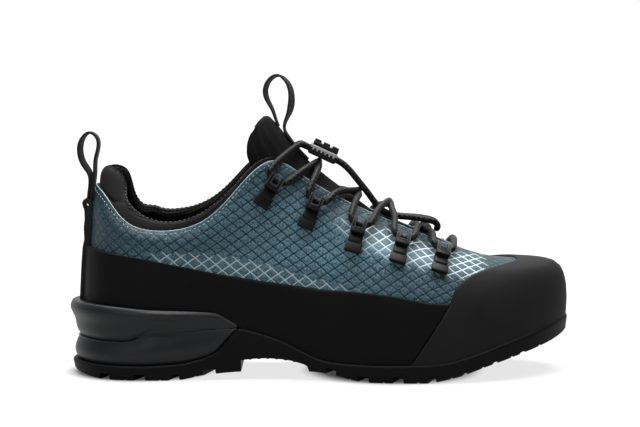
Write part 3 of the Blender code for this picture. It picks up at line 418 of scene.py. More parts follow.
@lru_cache(maxsize=None)
def rib(u):
    """The upper's outer face as a curve from the sole up to its top edge."""
    edge, normal = sole_edge(u)
    value = {name: float(curve(u)[0]) for name, curve in COLUMN.items()}
    rise = float(RISE(u)[0])
    top = np.array([value["top_x"], float(TOP_Y(u)[0])])
    foot = edge - normal * value["foot_in"]
    guides = np.array([
        (*foot, floor_height(foot[0]) + GAP),
        (*(edge - normal * value["wall_in"]), value["wall_z"]),
        (*(edge - normal * value["brow_in"]), value["brow_z"] + rise * MEDIAL_LIFT["brow"]),
        (*(edge + (top - edge) * value["sh_k"]), value["sh_z"] + rise * MEDIAL_LIFT["shoulder"]),
        (*top, value["top_z"] + rise * MEDIAL_LIFT["top"]),
    ])
    along = lengths(guides)
    curve = spline(along, guides)
    return lambda v: curve(float(np.interp(v, GUIDE_SHARES, along)))


def normal_at(u, v):
    """Outward direction of the upper's face."""
    low, high = max(0.0, v - 0.01), min(1.0, v + 0.01)
    along = rib((u + 0.002) % 1.0)(v) - rib((u - 0.002) % 1.0)(v)
    return unit(np.cross(along, rib(u % 1.0)(high) - rib(u % 1.0)(low)))


def on_upper(u, v, out=0.0):
    """A point at rib share v, out millimetres outside the upper's face."""
    point = rib(u % 1.0)(v)
    if out:
        point = point + normal_at(u, v) * out
    return point


def cap_share(u, shift=0.0):
    """Share of a rib, from the sole up, that lies in front of the toe cap's back edge."""
    heights, places = np.array(CAP_EDGE, float).T
    shares = np.linspace(0, 1, 101)
    points = np.array([on_upper(u, v) for v in shares])
    ahead = points[:, 0] - np.interp(points[:, 2], heights, places) - shift
    behind = int(np.argmax(ahead < 0))
    if behind == 0:
        return 0.0
    return float(shares[behind] - 0.01 * ahead[behind] / (ahead[behind] - ahead[behind - 1]))


def cap_crossing(side, share, shift):
    """Where along the sole's edge the toe cap's back edge, moved by shift, crosses a share of the ribs."""
    low, high = share_at(20, side), share_at(110, side)
    for _ in range(24):
        middle = (low + high) / 2
        low, high = (low, middle) if cap_share(middle, shift) > share else (middle, high)
    return low


# Small helpers for finishes and pieces


def colour(code):
    """Linear colour of an sRGB hex code."""
    parts = [int(code[i : i + 2], 16) / 255 for i in (1, 3, 5)]
    return (*[c / 12.92 if c <= 0.04045 else ((c + 0.055) / 1.055) ** 2.4 for c in parts], 1)


def feed(node, inputs):
    """Sets or links a node's inputs. A node given for an input stands for its first output."""
    for key, value in inputs.items():
        if isinstance(value, bpy.types.Node):
            value = value.outputs[0]
        if isinstance(value, bpy.types.NodeSocket):
            node.id_data.links.new(value, node.inputs[key])
        else:
            node.inputs[key].default_value = value


def add(tree, kind, inputs=None, **settings):
    """A node with its settings, and its inputs set or linked. Returns it."""
    made = tree.nodes.new("ShaderNode" + kind)
    for key, value in settings.items():
        setattr(made, key, value)
    feed(made, inputs or {})
    return made


def start(name, base, roughness, **sockets):
    """A material with constants set on its shader. Returns it with its tree and shader."""
    made = bpy.data.materials.new(name)
    made.use_nodes = True
    shader = made.node_tree.nodes["Principled BSDF"]
    feed(shader, {"Base Color": colour(base), "Roughness": roughness})
    feed(shader, {key.replace("_", " "): value for key, value in sockets.items()})
    return made, made.node_tree, shader


def placed(name, data):
    """A new object in the scene."""
    obj = bpy.data.objects.new(name, data)
    bpy.context.scene.collection.objects.link(obj)
    return obj


def loose(name, bm):
    """An object from a bmesh, which is used up. It is not part of the shoe yet."""
    mesh = bpy.data.meshes.new(name)
    bm.to_mesh(mesh)
    bm.free()
    return placed(name, mesh)


def piece(name, bm, finishes, sharp=40, replaces=()):
    """A finished piece of the shoe from a bmesh in metres."""
    obj = loose(name, bm)
    for finish in finishes:
        obj.data.materials.append(finish)
    obj.data.shade_smooth()
    obj.data.set_sharp_from_angle(angle=math.radians(sharp))
    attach(obj, "root")
    if replaces:
        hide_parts(*replaces)
    return obj


def grid(points, pattern=None, finish_of=None, values=None, close=True):
    """A bmesh grid moved to places in millimetres, [column][row]. Edges that meet are joined, ends filled."""
    points = np.asarray(points, float)
    columns, rows = points.shape[:2]
    bm = bmesh.new()
    bmesh.ops.create_grid(bm, x_segments=columns - 1, y_segments=rows - 1, size=0.5)
    laid = bm.loops.layers.uv.new("pattern") if pattern is not None else None
    for name in values or {}:
        bm.verts.layers.float.new(name)
    spots = {}
    for v in bm.verts:
        spots[v] = (round((v.co.x + 0.5) * (columns - 1)), round((v.co.y + 0.5) * (rows - 1)))
    if pattern is not None:
        for face in bm.faces:
            for loop in face.loops:
                loop[laid].uv = pattern[spots[loop.vert]]
    if finish_of is not None:
        for face in bm.faces:
            corner = np.min([spots[v] for v in face.verts], axis=0)
            face.material_index = finish_of(*corner)
    for name in values or {}:
        layer = bm.verts.layers.float[name]
        for v, spot in spots.items():
            v[layer] = values[name][spot]
    for v, spot in spots.items():
        v.co = Vector(points[spot]) * MM
    bmesh.ops.remove_doubles(bm, verts=bm.verts, dist=2e-6)
    if close:
        rim = [e for e in bm.edges if e.is_boundary]
        bmesh.ops.holes_fill(bm, edges=rim, sides=0)
        bmesh.ops.recalc_face_normals(bm, faces=bm.faces)
    return bm


def frames_along(path):
    """Side and up directions along a path, turning as little as they can."""
    tangent = unit(np.gradient(np.asarray(path, float), axis=0))
    side = np.cross(tangent[0], (0.1, 0.2, 1.0))
    sides = []
    for t in tangent:
        side = unit(side - t * (side @ t))
        sides.append(side)
    return np.array(sides), np.cross(sides, tangent)


def cord_mesh(path, radius, sides):
    """A round cord as a bmesh along a path. Its pattern is in millimetres along it and in turns round it."""
    side, up = frames_along(path)
    turns = np.linspace(0, 1, sides + 1)
    angles = 2 * math.pi * (turns % 1.0)
    run = lengths(path)
    rings, laid = [], []
    for i, middle in enumerate(path):
        rings.append([middle + radius * (math.cos(a) * side[i] + math.sin(a) * up[i]) for a in angles])
        laid.append([(run[i], turn) for turn in turns])
    return grid(rings, np.array(laid))


def ribbon_mesh(route, width, middle_y, twists):
    """Flat webbing as a bmesh along a route seen from the side, a little thicker along its two edges."""
    path = through(route, 0.7)
    step = unit(np.gradient(path, axis=0))
    run = lengths(path)
    twist = profile(twists)
    across = np.array([-0.5, -0.47, -0.4, -0.34, -0.17, 0, 0.17, 0.34, 0.4, 0.47, 0.5]) * width
    full = np.array([0.45, 0.9, 1.0, 0.82, 0.8, 0.8, 0.8, 0.82, 1.0, 0.9, 0.45]) * WEBBING_THICK / 2
    rings, laid = [], []
    for (x, z), (dx, dz), s in zip(path, step, run):
        a = math.radians(twist(s / run[-1]))
        flat, out = np.array((0, 1.0, 0)), np.array((-dz, 0, dx))
        wide, high = math.cos(a) * flat + math.sin(a) * out, math.cos(a) * out - math.sin(a) * flat
        middle = np.array((x, middle_y, z))
        face = [middle + wide * y + high * h for y, h in zip(across, full)]
        back = [middle + wide * y - high * h for y, h in zip(across, full)][::-1]
        rings.append([*face, *back, face[0]])
        laid.append([(s, y) for y in [*across, *across[::-1], across[0]]])
    return grid(rings, np.array(laid))


def stitches(name, path, normals, sizes, finish):
    """A row of stitches along a path, each a short rounded bead lying on the surface."""
    path = np.asarray(path, float)
    pitch, length, radius = sizes
    run = lengths(path)
    bm = bmesh.new()
    for s in np.arange(pitch / 2, run[-1] - pitch / 2, pitch):
        middle = between(s, run, path)
        ahead = unit(between(s + 0.5, run, path) - middle)
        side = unit(np.cross(between(s, run, normals), ahead))
        turn = Matrix((ahead, side, np.cross(ahead, side))).transposed().to_4x4()
        size = Matrix.Diagonal((length / 2 * MM, radius * MM, radius * MM, 1))
        place = Matrix.Translation(Vector(middle) * MM) @ turn @ size
        bmesh.ops.create_icosphere(bm, subdivisions=1, radius=1, matrix=place)
    piece(name, bm, [finish], sharp=180)


def rounded_box(bm, size, middle, edge, segments):
    """Adds a box with rounded edges, in millimetres, to a bmesh."""
    place = Matrix.Translation(Vector(middle) * MM) @ Matrix.Diagonal((*(Vector(size) * MM), 1))
    made = bmesh.ops.create_cube(bm, size=1, matrix=place)["verts"]
    edges = list({e for v in made for e in v.link_edges})
    bmesh.ops.bevel(
        bm, geom=edges, offset=edge * MM, segments=segments, affect="EDGES", profile=0.5, material=-1
    )


def boxed(name, place, boxes, finish, replaces=()):
    """A piece of rounded boxes in its own axes, each with its size, middle, edge radius and segments."""
    bm = bmesh.new()
    for box in boxes:
        rounded_box(bm, *box)
    bmesh.ops.transform(bm, matrix=place, verts=bm.verts)
    piece(name, bm, [finish], 40, replaces)


# Finishes


def cloth(shader, yarn, low, high, strength, depth):
    """Colours a cloth from low to high by the height of its yarn, and raises it by that height."""
    tree = shader.id_data
    tint_and_painted_light = add(tree, "Mix", {0: yarn, 6: colour(low), 7: colour(high)}, data_type="RGBA")
    bump = add(tree, "Bump", {"Strength": strength, "Distance": depth, "Height": yarn})
    feed(shader, {"Base Color": tint_and_painted_light.outputs[2], "Normal": bump})


def ripstop_nylon():
    # Coated ripstop nylon: a fine plain weave in grey blue, puffed a little between thicker threads in a
    # diagonal grid. The thread is dark. A painted highlight, marked by one attribute, makes it pale where
    # light would run along it and makes the vamp's cells paler. A second attribute paints light and shade on
    # the weave. The plain threads are 0.3 mm wide in life and are drawn about three times as wide, to show.
    made, tree, shader = start("ripstop_nylon", "#30444c", 0.5, Specular_IOR_Level=0.1)
    cut = add(tree, "UVMap", uv_map="pattern")
    axes = add(tree, "SeparateXYZ", {0: cut})
    across = add(tree, "Math", {0: axes.outputs[0], 1: 1 / CELL_WIDE}, operation="MULTIPLY")
    upward = add(tree, "Math", {0: axes.outputs[1], 1: 1 / CELL_TALL}, operation="MULTIPLY")
    lines, nears = [], []
    for way in ("ADD", "SUBTRACT"):
        both = add(tree, "Math", {0: across, 1: upward}, operation=way)
        near = add(tree, "Math", {0: both, 1: 0.5}, operation="PINGPONG")
        width = {0: near, 1: 0.03, 2: 0.088, 3: 1.0, 4: 0.0}
        lines.append(add(tree, "MapRange", width, interpolation_type="SMOOTHSTEP"))
        nears.append(near)
    inward = add(tree, "Math", {0: nears[0], 1: nears[1]}, operation="MINIMUM")
    swell = {0: inward, 1: 0.03, 2: 0.3, 3: 0.0, 4: 1.0}
    puff = add(tree, "MapRange", swell, interpolation_type="SMOOTHSTEP")
    lie = add(tree, "Mapping", {0: cut, "Scale": (0.95, 0.75, 1)})
    weave = add(tree, "TexNoise", {"Vector": lie, "Scale": 1.0, "Detail": 2.0})
    yarn = add(tree, "MapRange", {0: weave, 1: 0.34, 2: 0.66, 3: 0.0, 4: 1.0})
    body = add(tree, "Mix", {0: yarn, 6: colour("#22343c"), 7: colour("#465f69")}, data_type="RGBA")
    # Painted highlight: this attribute makes the cells paler and the thread pale where light would run along
    # it.
    painted_glint = add(tree, "Attribute", attribute_name="painted_glint").outputs[2]
    painted_sheen = add(tree, "MapRange", {0: painted_glint, 1: 0.5, 2: 1.0, 3: 0.0, 4: 0.45})
    lit = add(tree, "Mix", {0: painted_sheen, 6: body.outputs[2], 7: colour("#7a9198")}, data_type="RGBA")
    # Painted light and shade over the weave, from a second attribute.
    tint_and_painted_light = add(tree, "Attribute", attribute_name="tint_and_painted_light").outputs[2]
    laid = add(tree, "HueSaturation", {"Color": lit.outputs[2], "Value": tint_and_painted_light, "Saturation": 1.02})
    shown = add(tree, "MapRange", {0: painted_glint, 1: -1.0, 2: 0.0, 3: 0.1, 4: 1.0})
    bright = add(tree, "MapRange", {0: painted_glint, 1: 0.45, 2: 1.0, 3: 0.4, 4: 0.85})
    # Painted glints: each thread family turns pale over its own range of the painted highlight.
    for line, low, high in ((lines[1], 0.4, 0.5), (lines[0], 0.28, 0.38)):
        drawn = add(tree, "Math", {0: line, 1: shown}, operation="MULTIPLY")
        gleam = add(tree, "MapRange", {0: painted_glint, 1: low, 2: high, 3: 0.0, 4: 1.0})
        caught = add(tree, "Math", {0: gleam, 1: bright}, operation="MULTIPLY")
        painted_glint_colour = add(tree, "Mix", {0: caught, 6: colour("#06141b"), 7: colour("#c3d3d7")}, data_type="RGBA")
        laid = add(tree, "Mix", {0: drawn, 6: laid, 7: painted_glint_colour.outputs[2]}, data_type="RGBA").outputs[2]
    grain = add(tree, "Math", {0: weave, 1: 0.5}, operation="MULTIPLY")
    height = add(tree, "Math", {0: puff, 1: grain}, operation="ADD")
    bump = add(tree, "Bump", {"Strength": 0.6, "Distance": 0.0003, "Height": height})
    feed(shader, {"Base Color": laid, "Normal": bump})
    return made


def moulded_rubber(name, base, worn, roughness, shine, grain, strength=0.18):
    # Moulded rubber: an even matte skin with the mould's fine grain, a little paler where it is rubbed.
    made, tree, shader = start(name, base, roughness, Specular_IOR_Level=shine)
    place = add(tree, "TexCoord").outputs["Object"]
    fine = add(tree, "TexNoise", {"Vector": place, "Scale": 1 / (grain * MM), "Detail": 3.0})
    wide = add(tree, "TexNoise", {"Vector": place, "Scale": 1 / (28 * MM), "Detail": 4.0})
    rub = add(tree, "MapRange", {0: wide, 1: 0.38, 2: 0.72, 3: 0.0, 4: 1.0})
    tint_and_painted_light = add(tree, "Mix", {0: rub, 6: colour(base), 7: colour(worn)}, data_type="RGBA")
    gloss = add(tree, "MapRange", {0: wide, 1: 0.3, 2: 0.7, 3: roughness - 0.05, 4: roughness + 0.06})
    bump = add(tree, "Bump", {"Strength": strength, "Distance": 0.0002, "Height": fine})
    feed(shader, {"Base Color": tint_and_painted_light.outputs[2], "Roughness": gloss, "Normal": bump})
    return made


def knit_jersey(name, base, light):
    # Brushed jersey over foam: soft, nearly even, with a short nap that lightens it at grazing angles.
    made, tree, shader = start(
        name, base, 0.85, Sheen_Weight=0.05, Sheen_Roughness=0.4, Specular_IOR_Level=0.08
    )
    place = add(tree, "TexCoord").outputs["Object"]
    nap = add(tree, "TexNoise", {"Vector": place, "Scale": 1 / (0.9 * MM), "Detail": 3.0})
    cloth(shader, nap, base, light, 0.35, 0.0003)
    return made


def spacer_mesh():
    # Polyester spacer mesh: small open diamonds, 1.4 mm in life and drawn at 2.2 mm, in black.
    made, tree, shader = start("spacer_mesh", "#141414", 0.8, Specular_IOR_Level=0.08)
    axes = add(tree, "SeparateXYZ", {0: add(tree, "UVMap", uv_map="pattern")})
    waves = []
    for way in ("ADD", "SUBTRACT"):
        both = add(tree, "Math", {0: axes.outputs[0], 1: axes.outputs[1]}, operation=way)
        turn = add(tree, "Math", {0: both, 1: math.pi / 2.2}, operation="MULTIPLY")
        waves.append(add(tree, "Math", {0: turn}, operation="SINE"))
    cell = add(tree, "Math", {0: waves[0], 1: waves[1]}, operation="MULTIPLY")
    yarn = add(tree, "MapRange", {0: cell, 1: -0.6, 2: 0.6, 3: 0.0, 4: 1.0})
    cloth(shader, yarn, "#050505", "#1d1d1d", 0.7, 0.0005)
    return made


def woven_webbing():
    # Polyester webbing: ribs across it, 0.9 mm apart in life and drawn at 1.3 mm, and a warp drawn at 1.6 mm.
    made, tree, shader = start("woven_webbing", "#1c1c1c", 0.7, Specular_IOR_Level=0.1)
    axes = add(tree, "SeparateXYZ", {0: add(tree, "UVMap", uv_map="pattern")})
    waves = []
    for axis, spacing in ((0, 1.3), (1, 1.6)):
        turn = add(tree, "Math", {0: axes.outputs[axis], 1: 2 * math.pi / spacing}, operation="MULTIPLY")
        waves.append(add(tree, "Math", {0: turn}, operation="SINE"))
    both = add(tree, "Math", {0: waves[0], 1: waves[1]}, operation="ADD")
    yarn = add(tree, "MapRange", {0: both, 1: -1.6, 2: 1.6, 3: 0.0, 4: 1.0})
    cloth(shader, yarn, "#0b0b0b", "#222222", 0.6, 0.0004)
    return made


def braided_cord():
    # Braided polyester lace: two families of yarn wound opposite ways, drawn a little coarse, to show.
    made, tree, shader = start(
        "braided_cord", "#141414", 0.5, Specular_IOR_Level=0.09, Sheen_Weight=0.03, Sheen_Roughness=0.3
    )
    axes = add(tree, "SeparateXYZ", {0: add(tree, "UVMap", uv_map="pattern")})
    along = add(tree, "Math", {0: axes.outputs[0], 1: 2 * math.pi / 3.0}, operation="MULTIPLY")
    around = add(tree, "Math", {0: axes.outputs[1], 1: 2 * math.pi * 3}, operation="MULTIPLY")
    waves = []
    for way in ("ADD", "SUBTRACT"):
        both = add(tree, "Math", {0: along, 1: around}, operation=way)
        waves.append(add(tree, "Math", {0: both}, operation="SINE"))
    braid = add(tree, "Math", {0: waves[0], 1: waves[1]}, operation="MAXIMUM")
    yarn = add(tree, "MapRange", {0: braid, 1: 0.2, 2: 1.0, 3: 0.0, 4: 1.0})
    cloth(shader, yarn, "#020202", "#1b1b1b", 0.5, 0.00025)
    return made


def moulded_nylon(name, base, roughness):
    # Injection moulded nylon: smooth with a faint mould grain, glossy along its rounded edges.
    made, tree, shader = start(name, base, roughness, Specular_IOR_Level=0.12)
    place = add(tree, "TexCoord").outputs["Object"]
    fine = add(tree, "TexNoise", {"Vector": place, "Scale": 1 / (0.7 * MM), "Detail": 2.0})
    gloss = add(tree, "MapRange", {0: fine, 1: 0.3, 2: 0.7, 3: roughness - 0.06, 4: roughness + 0.08})
    bump = add(tree, "Bump", {"Strength": 0.12, "Distance": 0.0001, "Height": fine})
    feed(shader, {"Roughness": gloss, "Normal": bump})
    return made


def plain_thread(name, base):
    # Spun sewing thread: matt, with a slight shade along each stitch.
    made, tree, shader = start(name, base, 0.6)
    place = add(tree, "TexCoord").outputs["Object"]
    fine = add(tree, "TexNoise", {"Vector": place, "Scale": 1 / (1.2 * MM), "Detail": 1.0})
    lift = add(tree, "MapRange", {0: fine, 1: 0.3, 2: 0.7, 3: 0.75, 4: 1.2})
    feed(shader, {"Base Color": add(tree, "HueSaturation", {"Color": colour(base), "Value": lift})})
    return made


RIPSTOP = ripstop_nylon()
RAND_RUBBER = moulded_rubber("rand_rubber", "#060606", "#090909", 0.6, 0.06, 0.6)
CAP_RUBBER = moulded_rubber("cap_rubber", "#151516", "#19191a", 0.6, 0.05, 0.5)
WEDGE_FOAM = moulded_rubber("wedge_foam_skin", "#131416", "#17181a", 0.4, 0.17, 0.8, 0.1)
TREAD_RUBBER = moulded_rubber("tread_rubber", "#070708", "#0b0b0c", 0.54, 0.06, 0.7)
LINING = knit_jersey("upper_lining", "#0c0c0d", "#121213")
JERSEY = knit_jersey("cuff_jersey", "#101011", "#171718")
TONGUE_FABRIC = knit_jersey("tongue_fabric", "#090909", "#0f0f0f")
INSOLE_CLOTH = knit_jersey("insole_cloth", "#101011", "#19191a")
MESH = spacer_mesh()
WEBBING = woven_webbing()
LACE = braided_cord()
HOLDER_NYLON = moulded_nylon("holder_nylon", "#070708", 0.44)
LOCK_NYLON = moulded_nylon("lock_nylon", "#0f0f10", 0.38)
# The holders' rims are coloured paler than their nylon, as a painted highlight.
HOLDER_RIM_PAINTED_HIGHLIGHT = moulded_nylon("holder_rim_painted_highlight", "#2c2c2e", 0.36)
# The lock's rims are coloured pale as a painted highlight.
LOCK_RIM_PAINTED_HIGHLIGHT = moulded_nylon("lock_rim_painted_highlight", "#8f8f90", 0.4)
CUT_EDGE = plain_thread("coated_cut_edge", "#6c828a")
PALE_THREAD = plain_thread("pale_thread", "#748a92")
DARK_THREAD = plain_thread("dark_thread", "#1b1b1b")


# Camera, light and floor


def light_table():
    # White glowing table top, dimmed under the heel and the ball of the sole as a painted contact shadow.
    made, tree, shader = start(
        "light_table", "#606060", 0.9, Specular_IOR_Level=0, Emission_Color=(1, 1, 1, 1)
    )
    place = add(tree, "TexCoord").outputs["Object"]
    painted_shadow_glows = []
    for x, y, long, wide in ((-108, -2, 42, 42), (43, 0, 50, 54)):
        middle, size = (-x / long, -y / wide, 0), (1 / (long * MM), 1 / (wide * MM), 0)
        lie = add(tree, "Mapping", {0: place, "Location": middle, "Scale": size})
        away = add(tree, "VectorMath", {0: lie}, operation="LENGTH").outputs["Value"]
        # Painted contact shadow: emission falls from 0.77 to 0.06 inside each spot.
        painted_shadow_range = {0: away, 1: 0.8, 2: 1.15, 3: 0.06, 4: 0.77}
        painted_shadow_glows.append(add(tree, "MapRange", painted_shadow_range, interpolation_type="SMOOTHSTEP"))
    feed(shader, {"Emission Strength": add(tree, "Math", {0: painted_shadow_glows[0], 1: painted_shadow_glows[1]}, operation="MINIMUM")})
    return made


def make_stage():
    """Camera, even light from above and behind, and a white table that curves up behind the shoe."""
    scene = bpy.context.scene
    data = bpy.data.cameras.new("camera")
    data.lens, data.sensor_width = 103.3, 36
    camera = placed("camera", data)
    camera.location = (0, -1.1, 0.181)
    aim = Vector((0, 0, 0.0945)) - camera.location
    camera.rotation_euler = aim.to_track_quat("-Z", "Y").to_euler()
    scene.camera = camera
    scene.view_settings.view_transform = "Standard"

    scene.world = bpy.data.worlds.new("studio")
    scene.world.use_nodes = True
    feed(scene.world.node_tree.nodes["Background"], {"Color": (1, 1, 1, 1), "Strength": 0.22})

    for name, place, target, size, power in (
        ("softbox_above", (0, 0.1, 1.6), (0, 0.05, 0), 1.7, 105),
        ("softbox_back", (0, 0.9, 1.9), (0, 2.1, 0.5), 1.8, 60),
        ("softbox_front", (-0.6, -1.7, 0.9), (0, 0, 0.05), 0.8, 5),
    ):
        lamp = bpy.data.lights.new(name, "AREA")
        lamp.size, lamp.energy = size, power
        light = placed(name, lamp)
        light.location = place
        light.rotation_euler = (Vector(target) - light.location).to_track_quat("-Z", "Y").to_euler()

    sweep = (
        (-4.0, 0), (0, 0), (1.3, 0), (1.6, 0.03), (1.85, 0.13), (2.02, 0.3), (2.1, 0.55), (2.12, 0.9),
        (2.12, 3.0),
    )
    rings = [[(x / MM, y / MM, z / MM) for y, z in sweep] for x in (-4, -1, 1, 4)]
    floor = loose("floor", grid(rings, close=False))
    floor.data.shade_smooth()
    floor.data.materials.append(light_table())


# Upper and its overlays


def painted_glint_at(x, above, below_top):
    """Painted highlight on the ripstop's thread: 1 a pale glint where light would run along it, 0 dark, below
    0 fading into the weave.
    """
    band_top = 5 + 8 * bump_at(-55, 75, x)
    low_band = 0.52 * ease(-118, -90, x) * fade(0, 60, x) * fade(band_top - 3, band_top + 3, above)
    vamp = ease(-12, 40, x) * fade(86, 108, x) * fade(25, 42, below_top - 4 * ease(58, 90, x))
    vamp *= 0.2 + 0.72 * ease(5, 19, below_top)
    heel = 0.45 * fade(-122, -94, x) * ease(2, 9, above)
    edge = 0.6 * fade(2, 7, below_top) * fade(-20, 10, x)
    return float(np.clip(max(low_band, vamp) - heel - edge, -1, 1))


def painted_light_at(x, above, below_top, facing_up):
    """Painted light and shade on the weave: darker over the heel, on faces turned up, along the collar, at
    the ankle and at the throat where shade falls; lighter in the middle and along a bright band on the vamp.
    """
    heel = fade(-128, -88, x)
    edge = fade(3, 13, below_top) * fade(-20, 30, x)
    ankle = ease(-58, -34, x) * fade(-8, 16, x) * fade(8, 28, below_top)
    middle = bump_at(-20, 62, x) * ease(4, 14, above)
    throat = fade(5, 19, below_top) * ease(-24, 2, x) * fade(66, 84, x)
    painted_streak = bump_at(44 - 0.28 * (x + 7), 15, below_top) * ease(-30, 0, x) * fade(70, 92, x)
    light = 1.0 + 0.45 * middle - 0.4 * heel - 0.3 * edge - 0.55 * ankle - 0.25 * ease(20, 62, x)
    light += 0.45 * painted_streak - 0.36 * throat
    # Painted shade on faces turned up, against the light from above.
    return light * (1 - 0.47 * ease(0.35, 0.9, facing_up))


def girth_shift(base):
    """What to add to x for the cloth's length round the heel: for one side's columns, from the heel on."""
    run = lengths(base)
    turn = int(np.argmax(base[:, 0] > HEEL_TURN))
    return np.where(np.arange(len(base)) < turn, base[turn, 0] - (run[turn] - run) - base[:, 0], 0)


def make_upper():
    """The ripstop wall with its pattern, its painted glints and its painted light and shade, the cut edge at
    its top and a row of stitches.
    """
    columns, rows = UPPER_GRID
    shares = np.linspace(0, 1, columns)
    points = np.array([[on_upper(u, v) for v in np.linspace(0, 1, rows)] for u in shares])
    points[-1] = points[0]
    laid = np.zeros((columns, rows, 2))
    painted_glint, tint_and_painted_light = np.zeros((columns, rows)), np.zeros((columns, rows))
    wall = round(RAND_SHARE * (rows - 1))
    facing = unit(np.cross(np.gradient(points, axis=0), np.gradient(points, axis=1)))
    shift = girth_shift(points[:, wall]) + girth_shift(points[::-1, wall])[::-1]
    for i in range(columns):
        run = lengths(points[i])
        run -= run[wall]
        x, y, z = points[i].T
        rise = z - z[wall]
        toe = ease(*TOE_TURN, x)
        across = run * (1 - toe) + (rise + TOE_REACH - np.abs(y - TOE_MIDDLE)) * toe
        half_way = z[wall] * (1 - toe) + TOE_HEIGHT * toe + 0.5 * across + 0.5 * rise
        laid[i, :, 0] = x + shift[i] - CELL_LEAN * half_way
        laid[i, :, 1] = half_way + CELL_LEAN * x
        for j in range(rows):
            spot = (x[j], run[j], run[-1] - run[j])
            # Painted highlight and painted light and shade for each point of the weave.
            painted_glint[i, j] = painted_glint_at(*spot)
            tint_and_painted_light[i, j] = painted_light_at(*spot, abs(facing[i, j, 2]))
    bm = grid(points, laid, values={"painted_glint": painted_glint, "tint_and_painted_light": tint_and_painted_light}, close=False)
    upper = piece("upper_ripstop", bm, [RIPSTOP, LINING], replaces=["upper"])
    solid = upper.modifiers.new("wall", "SOLIDIFY")
    solid.thickness, solid.offset, solid.use_even_offset = WALL * MM, -1, True
    solid.material_offset, solid.material_offset_rim = 1, 0
    edge = np.array([on_upper(u, 1, -0.35) + (0, 0, 0.1) for u in shares])
    edge[-1] = edge[0]
    piece("upper_cut_edge", cord_mesh(edge, 0.36, 8), [CUT_EDGE])
    line, normals = [], []
    for u in np.linspace(0, 1, 500):
        tall = np.linalg.norm(on_upper(u, 1) - on_upper(u, 0.9))
        v = 1 - 0.1 * TOP_STITCH_BELOW / tall
        line.append(on_upper(u, v, SKIN_SEAT))
        normals.append(normal_at(u, v))
    stitches("upper_top_stitch", line, normals, TOP_STITCH, PALE_THREAD)


def overlay(shares, spans, inner, outer, edge, thin=lambda z: 1.0):
    """Rings of a skin over the upper between two offsets, thinned by height, with its free edge rounded."""
    faces = np.concatenate([np.linspace(0, 0.7, 12), np.linspace(0.74, 0.94, 8)])
    rings = []
    for u, (low, high) in zip(shares, spans):
        tall = max(0.5, np.linalg.norm(on_upper(u, high) - on_upper(u, low)))
        soft = min(edge, 0.45 * tall) / tall
        ring = [(low + (high - low) * f * (1 - soft) / 0.94, outer) for f in faces]
        for a in np.radians((22, 45, 67, 90)):
            share = 1 - soft + soft * math.sin(a)
            ring.append((low + (high - low) * share, outer - (outer - inner) * 0.85 * (1 - math.cos(a))))
        ring += [(high, inner), (low + (high - low) * 0.5, inner), (low, inner)]
        points = []
        for v, out in ring:
            v = min(1.0, max(0.0, v))
            points.append(on_upper(u, v, inner + (out - inner) * thin(on_upper(u, v)[2])))
        rings.append([*points, points[0]])
    return rings


def make_rand():
    """Rubber band round the upper, from one end of the toe cap's edge by the heel to the other."""
    ends = {side: cap_crossing(side, RAND_SHARE, -2 * GAP) for side in SIDE_NAMES}
    starts = {side: cap_crossing(side, 0, -2 * GAP) for side in SIDE_NAMES}
    runs = (
        np.linspace(ends[MEDIAL] - 1, starts[MEDIAL] - 1, 30, endpoint=False),
        np.linspace(starts[MEDIAL] - 1, starts[LATERAL], 240, endpoint=False),
        np.linspace(starts[LATERAL], ends[LATERAL], 31),
    )
    shares = np.concatenate(runs)
    raised = profile(RAND_RAISE)
    spans = []
    for u in shares:
        top, above = on_upper(u, RAND_SHARE), on_upper(u, RAND_SHARE + 0.04)
        share = RAND_SHARE + 0.04 * float(raised(top[0])) / np.linalg.norm(above - top)
        spans.append((min(cap_share(u, -2 * GAP), RAND_SHARE), share))
    rings = overlay(shares, spans, SKIN_SEAT, OVERLAY_GAP + RAND_THICK, 1.3)
    piece("rand_band", grid(rings), [RAND_RUBBER], replaces=["rand"])


def make_toe_cap():
    """Rubber cap over the toe, thinner towards its edge on top."""
    starts = {side: cap_crossing(side, 0, 0) for side in SIDE_NAMES}
    shares = np.linspace(starts[LATERAL], starts[MEDIAL], 241)
    spans = [(0, max(0.004, cap_share(u))) for u in shares]
    rings = overlay(
        shares, spans, SKIN_SEAT, OVERLAY_GAP + CAP_THICK, 1.6, lambda z: 1 - 0.55 * ease(61, 67, z)
    )
    piece("toe_cap_skin", grid(rings), [CAP_RUBBER], replaces=["toe_cap"])


